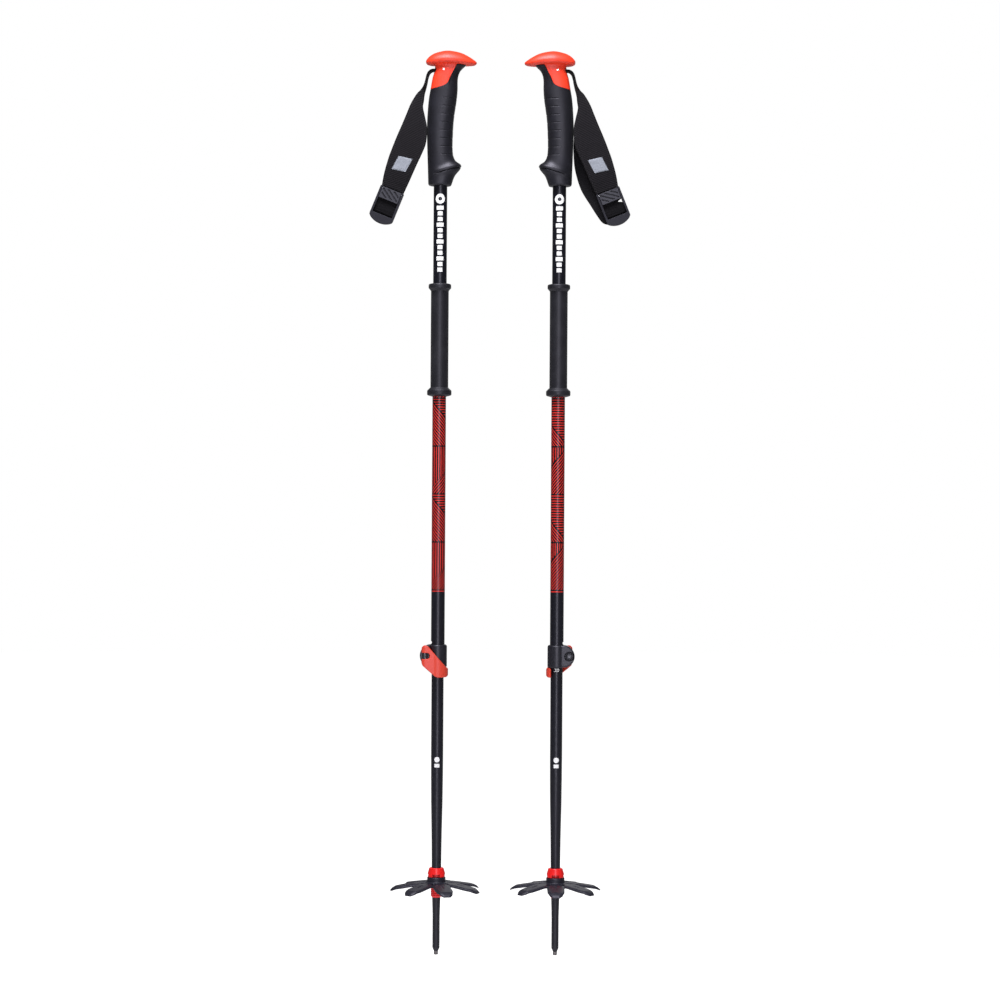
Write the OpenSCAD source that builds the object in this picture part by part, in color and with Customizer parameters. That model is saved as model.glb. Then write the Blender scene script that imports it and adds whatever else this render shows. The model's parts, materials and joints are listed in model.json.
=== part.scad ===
// A pair of two-section telescoping poles for climbing on skis or snowshoes.
// Each pole stands on its point, with its shaft on a line parallel to Z.
// The right pole is the left one turned half round, so their heads face each other.
// A pole's own frame has X towards the fingers, the strap on -X and the clamp lever on -Y.

/* [Pair] */
// Distance between the two shafts
pole_spacing = 158; // [156:2:400]
// Length of a pole from the top of its head to its point, as it is set
set_length = 1200; // [950:10:1450]

/* [Shafts] */
// Outer diameter of the upper shaft
upper_d = 18; // [17.8:0.1:18.1]
// Outer diameter of the lower shaft
lower_d = 16; // [15.6:0.1:16.2]
// Wall thickness of both shafts
shaft_wall = 0.75; // [0.6:0.05:0.75]
// Length of the rubber extension under the grip
extension_l = 150; // [120:5:200]

/* [Grip] */
// Width of the head across the hand
head_w = 38; // [32:1:42]
// Width of the webbing that goes into the head
anchor_w = 12; // [8:1:14]

/* [Clamp] */
// How far the lever's tab wraps round behind the shaft, in degrees
lever_wrap = 50; // [20:5:55]

/* [Basket and point] */
// Diameter of the snow basket
basket_d = 123; // [100:1:130]
// Number of arms on the snow basket
basket_arms = 7; // [6:1:8]
// Number of notches in the ferrule's skirt
skirt_notches = 4; // [3:1:6]

/* [Hidden] */
SIDES = ["left", "right"];
PIECES = [
    "upper_tube", "grip_extension", "grip_core", "grip_body", "grip_head", "strap_pin", "strap_anchor",
    "clamp_collar", "draw_bolt", "tension_nut", "lever_axle", "clamp_lever",
    "lower_tube", "tube_plug", "tip_ferrule", "tip_shank", "carbide_tip", "basket",
    "strap_neck", "strap_pad", "strap_back_web", "buckle_frame", "buckle_axle", "buckle_cam"
];

$fn = 64;

// Colours
black = "#26262a";
soft_black = "#1d1d20";
signal = "#f0402a";
steel = "#b8bac0";
dark_steel = "#5a5a60";
webbing = "#242226";

// Gaps: glued or pressed together, running on a pin, and between soft and moving parts
glue = 0.05;
running = 0.05;
loose = 0.3;
cut = 1;

// Heights over the ground of a pole that is 1200 long
nominal_length = 1200;
ferrule_top = 115.5;
skirt_bottom = 103.6;
thread_bottom = 76;
collar_bottom = 382;
collar_h = 30;
collar_top = collar_bottom + collar_h;
lower_tube_bottom = 98;
lower_tube_top = 720;
extension_top = 891;
extension_bottom = extension_top - extension_l;
grip_bottom = 1020.6;
upper_tube_top = 1150;
grip_core_r = 11.4;
head_underside = 1181;

upper_r = upper_d / 2;
upper_bore_r = upper_r - shaft_wall;
lower_r = lower_d / 2;

// Clamp
collar_r = 12.2;
ear_r = collar_h / 2 - 0.3;
ear_x = -9;
ear_front_y = -5.8;
ear_back_y = 10.5;
bolt_z = collar_bottom + collar_h / 2;
bolt_x = -16.6;
bolt_r = 2;
pivot_y = -10.8;
pivot_r = 1.45;
nut_seat_y = 5.6;

// Ferrule and basket
thread_r = 7.6;
thread_depth = 0.7;
thread_pitch = 2.3;
hub_r = 12.2;
basket_r = basket_d / 2;

// Strap: the hinge is where the webbing bends at the mouth of its slot in the head
strap_z = 1174;
strap_hinge_x = -11.5;
strap_barrel_r = 2;
strap_pin_x = 3.5;
strap_top = [-28, 1150];
strap_lean = 17;
buckle_top = [-63.3, 1014.7];
buckle_lean = 22;
buckle_w = 33;
buckle_l = 48;
rail_w = 3;
web_w = 26.2;
buckle_front_y = -11;
cam_v = 3;
cam_y = -9.1;
cam_barrel_r = 2.2;

// ---------- Helpers ----------

function arc(centre, r, from, to, steps) =
    [for (i = [0:steps]) centre + r * [cos(from + (to - from) * i / steps), sin(from + (to - from) * i / steps)]];

// A value with its size raised to a power under 1, which squares up an ellipse
function squared(v, power) = sign(v) * pow(abs(v), power);

// A Catmull-Rom value between b and c
function between(a, b, c, d, t) =
    0.5 * (2 * b + (c - a) * t + (2 * a - 5 * b + 4 * c - d) * t * t + (3 * b - a - 3 * c + d) * t * t * t);

// Rows of stations with more rows put smoothly between them
function smoothed(rows, steps) = [
    for (k = [0:len(rows) - 2], i = [0:steps - 1])
        between(rows[max(k - 1, 0)], rows[k], rows[k + 1], rows[min(k + 2, len(rows) - 1)], i / steps),
    rows[len(rows) - 1]
];

// A closed skin over rings that all have the same number of points
module skin(rings) {
    n = len(rings[0]);
    last = len(rings) - 1;
    polyhedron(
        points = [for (ring = rings) each ring],
        faces = concat(
            [[for (i = [0:n - 1]) i]],
            [[for (i = [n - 1:-1:0]) last * n + i]],
            [for (k = [0:last - 1], i = [0:n - 1]) let (j = (i + 1) % n)
                each [[k * n + i, (k + 1) * n + j, k * n + j], [k * n + i, (k + 1) * n + i, (k + 1) * n + j]]]
        )
    );
}

// A ring of tube between two heights
module tube(r_out, r_in, z0, z1) {
    translate([0, 0, z0])
        difference() {
            cylinder(r = r_out, h = z1 - z0);
            translate([0, 0, -cut]) cylinder(r = r_in, h = z1 - z0 + 2 * cut);
        }
}

// A cylinder along Y
module along_y(r, y0, y1) {
    translate([0, y0, 0]) rotate([-90, 0, 0]) cylinder(r = r, h = y1 - y0);
}

// An outline drawn in X and Z, given depth along Y
module front_outline(points, y0, y1) {
    translate([0, y1, 0]) rotate([90, 0, 0]) linear_extrude(y1 - y0) polygon(points);
}

// Parts of the upper section keep their place under the head whatever the set length
module upper_section() {
    translate([0, 0, set_length - nominal_length]) children();
}

// ---------- Upper section ----------

module upper_tube() {
    slit_w = 1.6;
    slot_h = 3.2;
    slot_x = -6.5;
    bottom = collar_bottom + 2;
    color(black)
        difference() {
            tube(upper_r, upper_bore_r, bottom, upper_tube_top);
            // The slit and the cross slot over the collar let the end of the shaft close on the lower one
            translate([-upper_r - cut, -slit_w / 2, bottom - cut])
                cube([upper_r, slit_w, collar_top + slot_h - bottom + cut]);
            translate([-upper_r - cut, -upper_r, collar_top + 0.8])
                cube([upper_r + cut + slot_x, upper_d, slot_h]);
        }
}

module grip_extension() {
    sleeve_r = 11.8;
    top_rim_r = 15;
    low_rim_r = 16.2;
    a = extension_bottom;
    b = extension_top;
    color(soft_black)
        rotate_extrude()
            polygon(concat(
                [[upper_r + glue, a + 0.6], [upper_r + 1.2, a]],
                arc([low_rim_r - 2, a + 3.2], 2, -70, 0, 4),
                arc([low_rim_r - 2, a + 7], 2, 0, 60, 4),
                [[sleeve_r, a + 12], [sleeve_r, b - 10]],
                arc([top_rim_r - 2, b - 5.5], 2, -60, 0, 4),
                arc([top_rim_r - 2, b - 2.6], 2, 0, 75, 4),
                [[upper_r + 1.6, b], [upper_r + glue, b - 0.8]]
            ));
}

module grip_core() {
    color("#303034") tube(grip_core_r, upper_r + glue, grip_bottom + 8, upper_tube_top);
}

// Stations of the grip: back X, back Z, front X, front Z, half width
grip_stations = [
    [-13.5, 1020.6, 13.2, 1020.6, 12.4],
    [-16.1, 1022.6, 14.7, 1022.6, 14.4],
    [-16.5, 1028.0, 19.0, 1034.0, 15.2],
    [-16.6, 1031.5, 26.4, 1043.0, 17.2],
    [-16.7, 1035.0, 26.8, 1048.6, 16.6],
    [-16.9, 1042.0, 19.2, 1054.8, 14.3],
    [-17.4, 1056.0, 15.9, 1067.0, 13.8],
    [-18.4, 1090.0, 16.2, 1092.0, 14.6],
    [-18.0, 1112.0, 17.6, 1112.0, 14.8],
    [-16.4, 1134.0, 20.8, 1134.0, 14.0],
    [-14.0, 1149.0, 22.0, 1149.0, 13.2],
    [-11.6, 1163.0, 22.2, 1163.0, 12.4],
    [-8.8, 1173.0, 25.4, 1173.0, 12.0],
    [-8.2, 1181.0, 33.0, 1181.0, 12.6],
    [-8.2, 1185.0, 33.0, 1185.0, 12.6]
];

grip_rows = smoothed(grip_stations, 2);

// Finger grooves round the front: height of the lowest, how many, pitch, depth
groove_z = 1061.7;
groove_count = 8;
groove_pitch = 10.64;
groove_depth = 1.1;

// Front heights of the grip's rows with how deep each one lies, plain rows and the four of each groove
grip_levels = concat(
    [for (s = grip_rows) if (s[3] < groove_z - 3) [s[3], 0]],
    [for (i = [0:groove_count - 1], edge = [[-1.7, 0], [-0.8, 1], [0.8, 1], [1.7, 0]])
        [groove_z + i * groove_pitch + edge[0], edge[1] * groove_depth]],
    [for (s = grip_rows) if (s[3] > groove_z + (groove_count - 1) * groove_pitch + 3) [s[3], 0]]
);

function grip_at(z, column) = lookup(z, [for (s = grip_rows) [s[3], s[column]]]);

// A ring of the grip that meets its front at a height, pressed in by a depth over its front half
function grip_ring(z, depth, sides) =
    let (x0 = grip_at(z, 0), x1 = grip_at(z, 2), z0 = grip_at(z, 1), half = grip_at(z, 4))
    [for (i = [0:sides - 1])
        let (
            c = squared(cos(360 * i / sides), 0.86),
            w = squared(sin(360 * i / sides), 0.86),
            sunk = c > 0.05 ? depth : 0
        )
        [
            (x0 + x1) / 2 + c * ((x1 - x0) / 2 - sunk),
            w * (half - sunk),
            (z0 + z) / 2 + c * (z - z0) / 2
        ]];

module grip_envelope() {
    skin([for (level = grip_levels) grip_ring(level[0], level[1], 28)]);
}

// Where the head's neck ends and the soft grip begins, seen from the side
parting_line = [
    [-30, 1146], [-14, 1148], [-2, 1150.5], [6, 1153.5], [10.2, 1158.5], [13.5, 1168], [16.6, 1176.5], [21, 1181]
];

module below_parting(gap) {
    front_outline(concat(
        [for (p = parting_line) p - [0, gap]],
        [[60, head_underside - gap], [60, 1000], [-30, 1000]]
    ), -40, 40);
}

module grip_body() {
    color(soft_black)
        difference() {
            intersection() {
                grip_envelope();
                below_parting(glue);
            }
            translate([0, 0, grip_bottom - cut]) cylinder(r = upper_r + glue, h = 200);
            translate([0, 0, grip_bottom + 8 - glue]) cylinder(r = grip_core_r + glue, h = 200);
        }
}

// Stations of the head's cap: X, share of the full width, top Z, bottom Z
cap_stations = [
    [-20.2, 0.12, 1186.6, 1184.0], [-18.5, 0.46, 1189.3, 1182.3], [-13.5, 0.70, 1193.8, 1181.2],
    [-6.0, 0.87, 1197.4, 1181.0], [6.0, 1.00, 1200.0, 1181.0], [16.0, 0.98, 1199.5, 1181.0],
    [28.0, 0.85, 1196.6, 1181.0], [38.0, 0.64, 1191.5, 1181.0], [44.5, 0.38, 1187.2, 1181.5],
    [47.3, 0.10, 1185.0, 1183.0]
];

module head_cap() {
    sides = 24;
    skin([
        for (s = smoothed(cap_stations, 2)) let (rim = s[3] + 0.3 * (s[2] - s[3])) [
            for (i = [0:sides - 1]) let (up = sin(360 * i / sides))
                [
                    s[0],
                    head_w / 2 * s[1] * squared(cos(360 * i / sides), 0.8),
                    rim + (up > 0 ? (s[2] - rim) * up : (rim - s[3]) * squared(up, 0.6))
                ]
        ]
    ]);
}

module grip_head() {
    slot_h = 5;
    spigot_l = 22;
    color(signal)
        difference() {
            union() {
                head_cap();
                difference() {
                    intersection() {
                        grip_envelope();
                        translate([-40, -40, 1100]) cube([80, 80, head_underside + 1 - 1100]);
                    }
                    below_parting(0);
                }
                translate([0, 0, upper_tube_top - spigot_l]) cylinder(r = upper_bore_r - glue, h = spigot_l + 10);
            }
            // The seat on the core and the shaft
            tube(grip_core_r + glue, upper_bore_r - glue, upper_tube_top - 40, upper_tube_top + glue);
            // The strap's slot, open at the back
            translate([-30, -anchor_w / 2 - 0.5, strap_z - slot_h / 2])
                cube([30 + strap_pin_x + 4, anchor_w + 1, slot_h]);
            translate([strap_pin_x, 0, strap_z]) along_y(1.35, -30, 30);
        }
}

module strap_pin() {
    color(steel) translate([strap_pin_x, 0, strap_z]) along_y(1.3, -12.1, 12.1);
}

module strap_anchor() {
    thick = 4;
    x0 = strap_hinge_x + strap_barrel_r + loose;
    color(webbing)
        difference() {
            union() {
                translate([x0, -anchor_w / 2, strap_z - thick / 2]) cube([strap_pin_x - x0, anchor_w, thick]);
                translate([strap_pin_x, 0, strap_z]) along_y(thick / 2, -anchor_w / 2, anchor_w / 2);
            }
            translate([strap_pin_x, 0, strap_z]) along_y(1.3 + glue, -20, 20);
        }
}

// ---------- Clamp ----------

module clamp_collar() {
    round = 3;
    edge = 1.2;
    slit_w = 1.6;
    color(black)
        difference() {
            union() {
                // The band round the shaft, with a rounded shoulder
                rotate_extrude()
                    polygon(concat(
                        [[upper_r - cut, collar_bottom], [collar_r - edge, collar_bottom]],
                        arc([collar_r - edge, collar_bottom + edge], edge, -90, 0, 4),
                        arc([collar_r - round, collar_top - round], round, 0, 90, 8),
                        [[upper_r - cut, collar_top]]
                    ));
                // The two ears, as one disc that the slit parts
                translate([ear_x, ear_front_y, bolt_z])
                    rotate([-90, 0, 0])
                        rotate_extrude()
                            polygon(concat(
                                [[0, 0], [ear_r, 0]],
                                arc([ear_r - 2, ear_back_y - ear_front_y - 2], 2, 0, 90, 6),
                                [[0, ear_back_y - ear_front_y]]
                            ));
            }
            translate([0, 0, collar_bottom - cut]) cylinder(r = upper_r + glue, h = collar_h + 2 * cut);
            translate([-40, -slit_w / 2, collar_bottom - cut]) cube([40, slit_w, collar_h + 2 * cut]);
            translate([bolt_x, 0, bolt_z]) along_y(bolt_r + 0.1, -20, 20);
            translate([bolt_x, 0, bolt_z]) along_y(6.2, nut_seat_y, 20);
        }
}

module draw_bolt() {
    eye_r = 3.6;
    eye_h = 6.4;
    color(dark_steel)
        difference() {
            union() {
                translate([bolt_x, pivot_y, bolt_z - eye_h / 2]) cylinder(r = eye_r, h = eye_h);
                translate([bolt_x, 0, bolt_z]) along_y(bolt_r, pivot_y, 8);
            }
            translate([bolt_x, pivot_y, bolt_z - 10]) cylinder(r = pivot_r + 0.03, h = 20);
        }
}

module tension_nut() {
    nut_r = 4.6;
    socket_w = 4;
    color(steel)
        difference() {
            translate([bolt_x, nut_seat_y, bolt_z])
                rotate([-90, 0, 0])
                    rotate_extrude()
                        polygon(concat(
                            [[bolt_r + 0.03, 0], [nut_r, 0]],
                            arc([nut_r - 0.8, 2.6], 0.8, 0, 90, 4),
                            [[bolt_r + 0.03, 3.4]]
                        ));
            // A hexagon socket round the bolt's end
            translate([bolt_x, nut_seat_y + 1.8, bolt_z])
                rotate([-90, 0, 0])
                    cylinder(d = socket_w / cos(30) + 1, h = 5, $fn = 6);
        }
}

module lever_axle() {
    color(steel)
        translate([bolt_x, pivot_y, collar_bottom + 5]) cylinder(r = pivot_r, h = 20.5);
}

// The lever from the front: a long tab that runs from the pivot, down across the collar and round the shaft
function lever_face() = concat(
    [[-21.3, 387.5], [-21.3, 404.5]],
    arc([-16.3, 406], 5, 165, 60, 6),
    [[-12.3, 409.6], [11.2, 382.6]],
    arc([11.4, 378.4], 2.8, 60, 0, 3),
    arc([10.4, 372.4], 3.6, -10, -90, 4),
    [[0.4, 368.4], [-3.4, 370], [-19.6, 384]]
);

module clamp_lever() {
    centre_y = -1.9;
    r_out = 13.9;
    r_in = 11.4;
    barrel_r = 4.7;
    color(signal)
        difference() {
            intersection() {
                front_outline(lever_face(), -20, 20);
                translate([0, 0, collar_bottom - 20])
                    linear_extrude(collar_h + 30)
                        union() {
                            // The barrel on the axle, the band round the front, and the web that joins them
                            translate([bolt_x, pivot_y]) circle(r = barrel_r);
                            polygon(concat(
                                arc([0, centre_y], r_out, -120, lever_wrap, 34),
                                arc([0, centre_y], r_in, lever_wrap, -120, 34)
                            ));
                            polygon([
                                [bolt_x, pivot_y - barrel_r], [-4.2, -15.15], [-4.2, -12.6],
                                [-9.4, -9.6], [-13.6, -7.3], [bolt_x + 1, pivot_y]
                            ]);
                        }
            }
            // The slot that the bolt's eye stands in, open to the outside so that the lever can swing
            translate([bolt_x + 2.4, 0, bolt_z]) along_y(4, -20, -5);
            translate([bolt_x - 12, -20, bolt_z - 4]) cube([14.4, 15, 8]);
            translate([bolt_x, pivot_y, collar_bottom - 20]) cylinder(r = pivot_r + running, h = 60);
            // The tab's inner face lies on the collar
            translate([0, 0, collar_bottom - loose]) cylinder(r = collar_r + loose, h = collar_h);
            // Behind the shaft the tab stays under the collar
            translate([-4, centre_y, collar_bottom - 0.9]) cube([40, 30, 40]);
        }
}

// ---------- Lower section ----------

// Outside of the lower shaft under its straight part: radius, height
shaft_taper = [[6.3, lower_tube_bottom], [6.35, 118], [6.8, 160], [7.6, 203], [7.9, 235]];

module lower_tube() {
    color(black)
        rotate_extrude()
            polygon(concat(
                shaft_taper,
                [[lower_r, 262], [lower_r, lower_tube_top], [lower_r - shaft_wall, lower_tube_top]],
                [[lower_r - shaft_wall, 262]],
                [for (i = [len(shaft_taper) - 1:-1:0]) shaft_taper[i] - [shaft_wall, 0]]
            ));
}

module tube_plug() {
    stem_r = lower_r - shaft_wall - glue;
    glide_r = upper_bore_r - 0.1;
    color("#e8e8ea")
        rotate_extrude()
            polygon([
                [0, lower_tube_top - 20], [stem_r - 1, lower_tube_top - 20], [stem_r, lower_tube_top - 19],
                [stem_r, lower_tube_top + glue], [glide_r, lower_tube_top + glue], [glide_r, lower_tube_top + 9],
                [glide_r - 1, lower_tube_top + 10], [0, lower_tube_top + 10]
            ]);
}

module tip_ferrule() {
    skirt_top_r = 9.1;
    skirt_r = 12.4;
    skirt_in_r = 10.8;
    skirt_roof = 107.6;
    core_r = 8.2;
    ribs = floor((skirt_bottom - 1 - thread_bottom - 2) / thread_pitch);
    notch_w = 10.5;
    color(signal)
        difference() {
            rotate_extrude()
                polygon(concat(
                    [[0, thread_bottom], [5.6, thread_bottom], [thread_r - thread_depth, thread_bottom + 1.6]],
                    // Thread ribs, each with a flank up, a crest and a flank down
                    [for (i = [0:ribs - 1]) let (z = thread_bottom + 2 + i * thread_pitch)
                        each [
                            [thread_r - thread_depth, z], [thread_r, z + 0.7],
                            [thread_r, z + 1.2], [thread_r - thread_depth, z + 1.9]
                        ]],
                    [
                        [thread_r - thread_depth, skirt_bottom], [core_r, skirt_bottom + 0.4],
                        [core_r, skirt_roof], [skirt_in_r, skirt_roof], [skirt_in_r, skirt_bottom],
                        [skirt_r, skirt_bottom], [skirt_r, skirt_bottom + 1.6],
                        [skirt_top_r + 0.5, ferrule_top - 0.6], [skirt_top_r - 0.4, ferrule_top], [0, ferrule_top]
                    ]
                ));
            // Sockets for the shaft above and the shank below
            translate([0, 0, lower_tube_bottom - glue]) cylinder(r = 6.3 + glue, h = 20 + glue);
            translate([0, 0, lower_tube_bottom]) cylinder(r1 = 6.3 + glue, r2 = 6.35 + 2 * glue, h = 20);
            translate([0, 0, thread_bottom - cut]) cylinder(r = 3.5 + glue, h = 17 + cut);
            for (i = [0:skirt_notches - 1])
                rotate([0, 0, 360 * i / skirt_notches - 90])
                    translate([skirt_in_r - 0.9, -notch_w / 2, skirt_bottom - cut]) cube([5, notch_w, 3.5 + cut]);
        }
}

module tip_shank() {
    color(black)
        rotate_extrude()
            polygon([
                [1.85 + glue, 4.7], [2.75, 4.7], [4.85, 9.4], [4.85, 50], [5.0, 58], [5.5, thread_bottom],
                [3.5, thread_bottom], [3.5, 92], [0, 92], [0, 16], [1.85 + glue, 16]
            ]);
}

module carbide_tip() {
    color(dark_steel)
        rotate_extrude()
            polygon([
                [0, 1.1], [1.7, 0], [2.3, 0], [2.75, 0.6], [2.75, 4.7 - glue],
                [1.85, 4.7 - glue], [1.85, 15.5], [0, 15.5]
            ]);
}

// One arm of the basket from above, pointing along X
function arm_outline() = [
    [9, -6.8], [24, -11.6], [basket_r * 0.75, -11.2], [basket_r - 5, -8.4], [basket_r - 0.4, -4.6],
    [basket_r - 0.4, 4.6], [basket_r - 5, 8.4], [basket_r * 0.75, 11.2], [24, 11.6], [9, 6.8]
];

// The first arm stands at an angle from the pole's -Y side
module basket(phase) {
    hub_top = skirt_bottom - loose;
    // The dish that all the arms are cut from: its top and underside, radius and height
    dish = [
        [10.5, 96.6], [30, 95.2], [54, 91], [basket_r + 1, 86.2],
        [basket_r + 1, 83.8], [54, 87.4], [30, 91.8], [10.5, 92.4]
    ];
    color(soft_black)
        difference() {
            union() {
                rotate_extrude()
                    polygon(concat(
                        [[thread_r + 0.1, 90.5], [hub_r - 1, 90.5], [hub_r, 91.5]],
                        arc([hub_r - 1, hub_top - 1], 1, 0, 90, 3),
                        [[thread_r + 0.1, hub_top]]
                    ));
                intersection() {
                    rotate_extrude() polygon(dish);
                    for (i = [0:basket_arms - 1])
                        rotate([0, 0, 360 * i / basket_arms - 90 + phase])
                            translate([0, 0, 80]) linear_extrude(20) polygon(arm_outline());
                }
            }
            // A window between each two arms, next to the hub
            for (i = [0:basket_arms - 1])
                rotate([0, 0, 360 * (i + 0.5) / basket_arms - 90 + phase])
                    translate([0, 0, 80])
                        linear_extrude(20) polygon([[14, -1.6], [20.5, -3.1], [23.5, 0], [20.5, 3.1], [14, 1.6]]);
        }
}

// ---------- Wrist strap ----------

// A point of the buckle's face: across it, then down it
function on_buckle(u, v) =
    buckle_top + u * [cos(buckle_lean), -sin(buckle_lean)] - v * [sin(buckle_lean), cos(buckle_lean)];

// Puts a piece drawn with X across the buckle, -Z down it and Y through it in its place
module at_buckle() {
    translate([buckle_top[0], 0, buckle_top[1]]) rotate([0, buckle_lean, 0]) children();
}

// Puts a side profile, drawn as distance down the strap and Y, across the strap's width
module side_profile(points) {
    translate([strap_top[0], 0, strap_top[1]])
        rotate([0, strap_lean, 0])
            rotate([0, 90, 0])
                translate([0, 0, -60])
                    linear_extrude(120) polygon(points);
}

module strap_neck() {
    half = anchor_w / 2;
    color(webbing)
        union() {
            translate([strap_hinge_x, 0, strap_z]) along_y(strap_barrel_r, -half, half);
            front_outline([
                [-11.5, 1176], [-15.6, 1173.7], [-19.6, 1168], [-21.4, 1158], [-23.8, 1151], [-31.5, 1142],
                [-35, 1136], [-24, 1131], [-22.6, 1139], [-19, 1152], [-16.2, 1164], [-14, 1169.6], [-11.5, 1172]
            ], -half, half);
        }
}

// The shaft side of the rear web: hidden behind the left strap's pad, in a bow past the right strap's pad
function web_edge(side) = side == "left"
    ? [
        on_buckle(web_w / 2, 0), [-41.6, 1028.5], [-31, 1052.5], [-22.6, 1072],
        [-20, 1090], [-21, 1104], [-24.5, 1124]
    ]
    : [[-57.6, 971.9], [-45.8, 990.7], [-30.5, 1014.3], [-20.5, 1046.5], [-18.5, 1070], [-20, 1100], [-24, 1126]];

// Where the webbing dips under the right buckle's tab it leaves a small gap beside the rail
module web_gap(side) {
    if (side == "right")
        at_buckle() front_outline([[-9.4, -16.6], [-9.4, -19.6], [-20, -19.6], [-20, -16.6]], -20, 10);
}

module strap_pad(side) {
    half = anchor_w / 2;
    color(webbing)
        difference() {
            intersection() {
                front_outline(concat(
                    [
                        [-23.6, 1149], [-31.9, 1142], [-39.6, 1129], [-50.2, 1103], [-59.4, 1081.5],
                        [-68.5, 1057], [-74.5, 1036], on_buckle(-15.6, -0.6), on_buckle(-web_w / 2, -0.6),
                        on_buckle(-web_w / 2, 30), on_buckle(web_w / 2, 30), on_buckle(web_w / 2, -0.6),
                        on_buckle(15.6, -0.6)
                    ],
                    [[-39.6, 1028.5], [-29, 1052.5], [-20.6, 1072], [-17.6, 1088], [-18.4, 1104], [-23.5, 1124]],
                    [[-22.6, 1138]]
                ), -30, 10);
                side_profile([
                    [-10, -half], [12, -half], [45, -9], [95, -9], [128, -6.6], [136, -5.4], [175, -5.4],
                    [175, -6.6], [136, -6.6], [127, -9.4], [95, -12], [45, -12], [12, -half - 3], [-10, -half - 3]
                ]);
            }
            web_gap(side);
        }
}

module strap_back_web(side) {
    half = anchor_w / 2;
    color(webbing)
        difference() {
            intersection() {
                front_outline(concat(
                    [[-24, 1148], [-34, 1138], [-45, 1110], [-56, 1070], [-66, 1038]],
                    [on_buckle(-web_w / 2, 8), on_buckle(-web_w / 2, 47), on_buckle(web_w / 2, 46)],
                    web_edge(side),
                    [[-22.6, 1138]]
                ), -20, 30);
                side_profile([
                    [-10, half], [12, half], [45, 9], [100, 9], [150, 1], [168, -2.4], [200, -2.4],
                    [200, -0.4], [168, -0.4], [150, 3], [100, 11], [45, 11], [12, half + 2], [-10, half + 2]
                ]);
            }
            web_gap(side);
        }
}

module buckle_frame() {
    y0 = buckle_front_y;
    y1 = -2.5;
    half = buckle_w / 2;
    inner = half - rail_w;
    // The bowed lower edge is an arc that comes to the buckle's full length in the middle
    bow_half = 14;
    bow = 4.3;
    bow_r = (bow_half * bow_half + bow * bow) / (2 * bow);
    bow_angle = asin(bow_half / bow_r);
    module outline(points) { front_outline(points, y0, y1); }
    color(black)
        at_buckle()
            difference() {
                union() {
                    // Two rails and the bottom bar, with a bowed lower edge
                    difference() {
                        outline(concat(
                            [[half - 1, 0], [half, -1], [half, 8.5 - buckle_l], [half - 0.4, 6.4 - buckle_l]],
                            arc([0, bow_r - buckle_l], bow_r, bow_angle - 90, -90 - bow_angle, 14),
                            [[0.4 - half, 6.4 - buckle_l], [-half, 8.5 - buckle_l], [-half, -1], [1 - half, 0]]
                        ));
                        front_outline([[-inner, 5], [inner, 5], [inner, -36.5], [-inner, -36.5]], y0 - 1, y1 + 1);
                    }
                    // Cross bars behind the webbing: one at the top, and a round one that the webbing turns on
                    front_outline([[-inner, -1], [inner, -1], [inner, -5], [-inner, -5]], -5.2, y1);
                    translate([-inner, -4, -32.6]) rotate([0, 90, 0]) cylinder(r = 1.4, h = 2 * inner);
                }
                translate([-buckle_w, cam_y, -cam_v])
                    rotate([0, 90, 0]) cylinder(r = 0.9 + 0.02, h = 2 * buckle_w);
            }
}

module buckle_axle() {
    color(steel)
        at_buckle()
            translate([0.6 - buckle_w / 2, cam_y, -cam_v])
                rotate([0, 90, 0]) cylinder(r = 0.9, h = buckle_w - 1.2);
}

module buckle_cam(slot_side) {
    inner = buckle_w / 2 - rail_w - loose;
    length = 16;
    thick = 2.2;
    face_y = cam_y - cam_barrel_r;
    groove_w = 1.9;
    across = 8.2;
    color("#3a3a40")
        at_buckle()
            difference() {
                union() {
                    translate([-inner, cam_y, -cam_v]) rotate([0, 90, 0]) cylinder(r = cam_barrel_r, h = 2 * inner);
                    front_outline(
                        [[-inner, -1], [inner, -1], [inner, -length], [-inner, -length]], face_y, face_y + thick
                    );
                }
                translate([-buckle_w, cam_y, -cam_v])
                    rotate([0, 90, 0]) cylinder(r = 0.9 + running, h = 2 * buckle_w);
                // Slanting grip grooves
                intersection() {
                    front_outline(
                        [
                            [1.6 - inner, -2.4], [inner - 1.6, -2.4],
                            [inner - 1.6, 1.6 - length], [1.6 - inner, 1.6 - length]
                        ],
                        face_y - 1, face_y + 0.9
                    );
                    for (i = [-2.5:2.5])
                        translate([i * across, 0, -length / 2 - 0.5])
                            rotate([0, slot_side * 35, 0])
                                translate([-20, face_y - 1, -groove_w / 2]) cube([40, 3, groove_w]);
                }
            }
}

// ---------- The pair ----------

// Pieces of the wrist strap hang alike on both poles, as mirror images
module strap_place(side) {
    sign_x = side == "left" ? -1 : 1;
    translate([sign_x * pole_spacing / 2, 0, 0])
        mirror([side == "left" ? 0 : 1, 0, 0])
            upper_section() children();
}

module pole_place(side) {
    translate([(side == "left" ? -1 : 1) * pole_spacing / 2, 0, 0])
        rotate([0, 0, side == "left" ? 0 : 180]) children();
}

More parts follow.
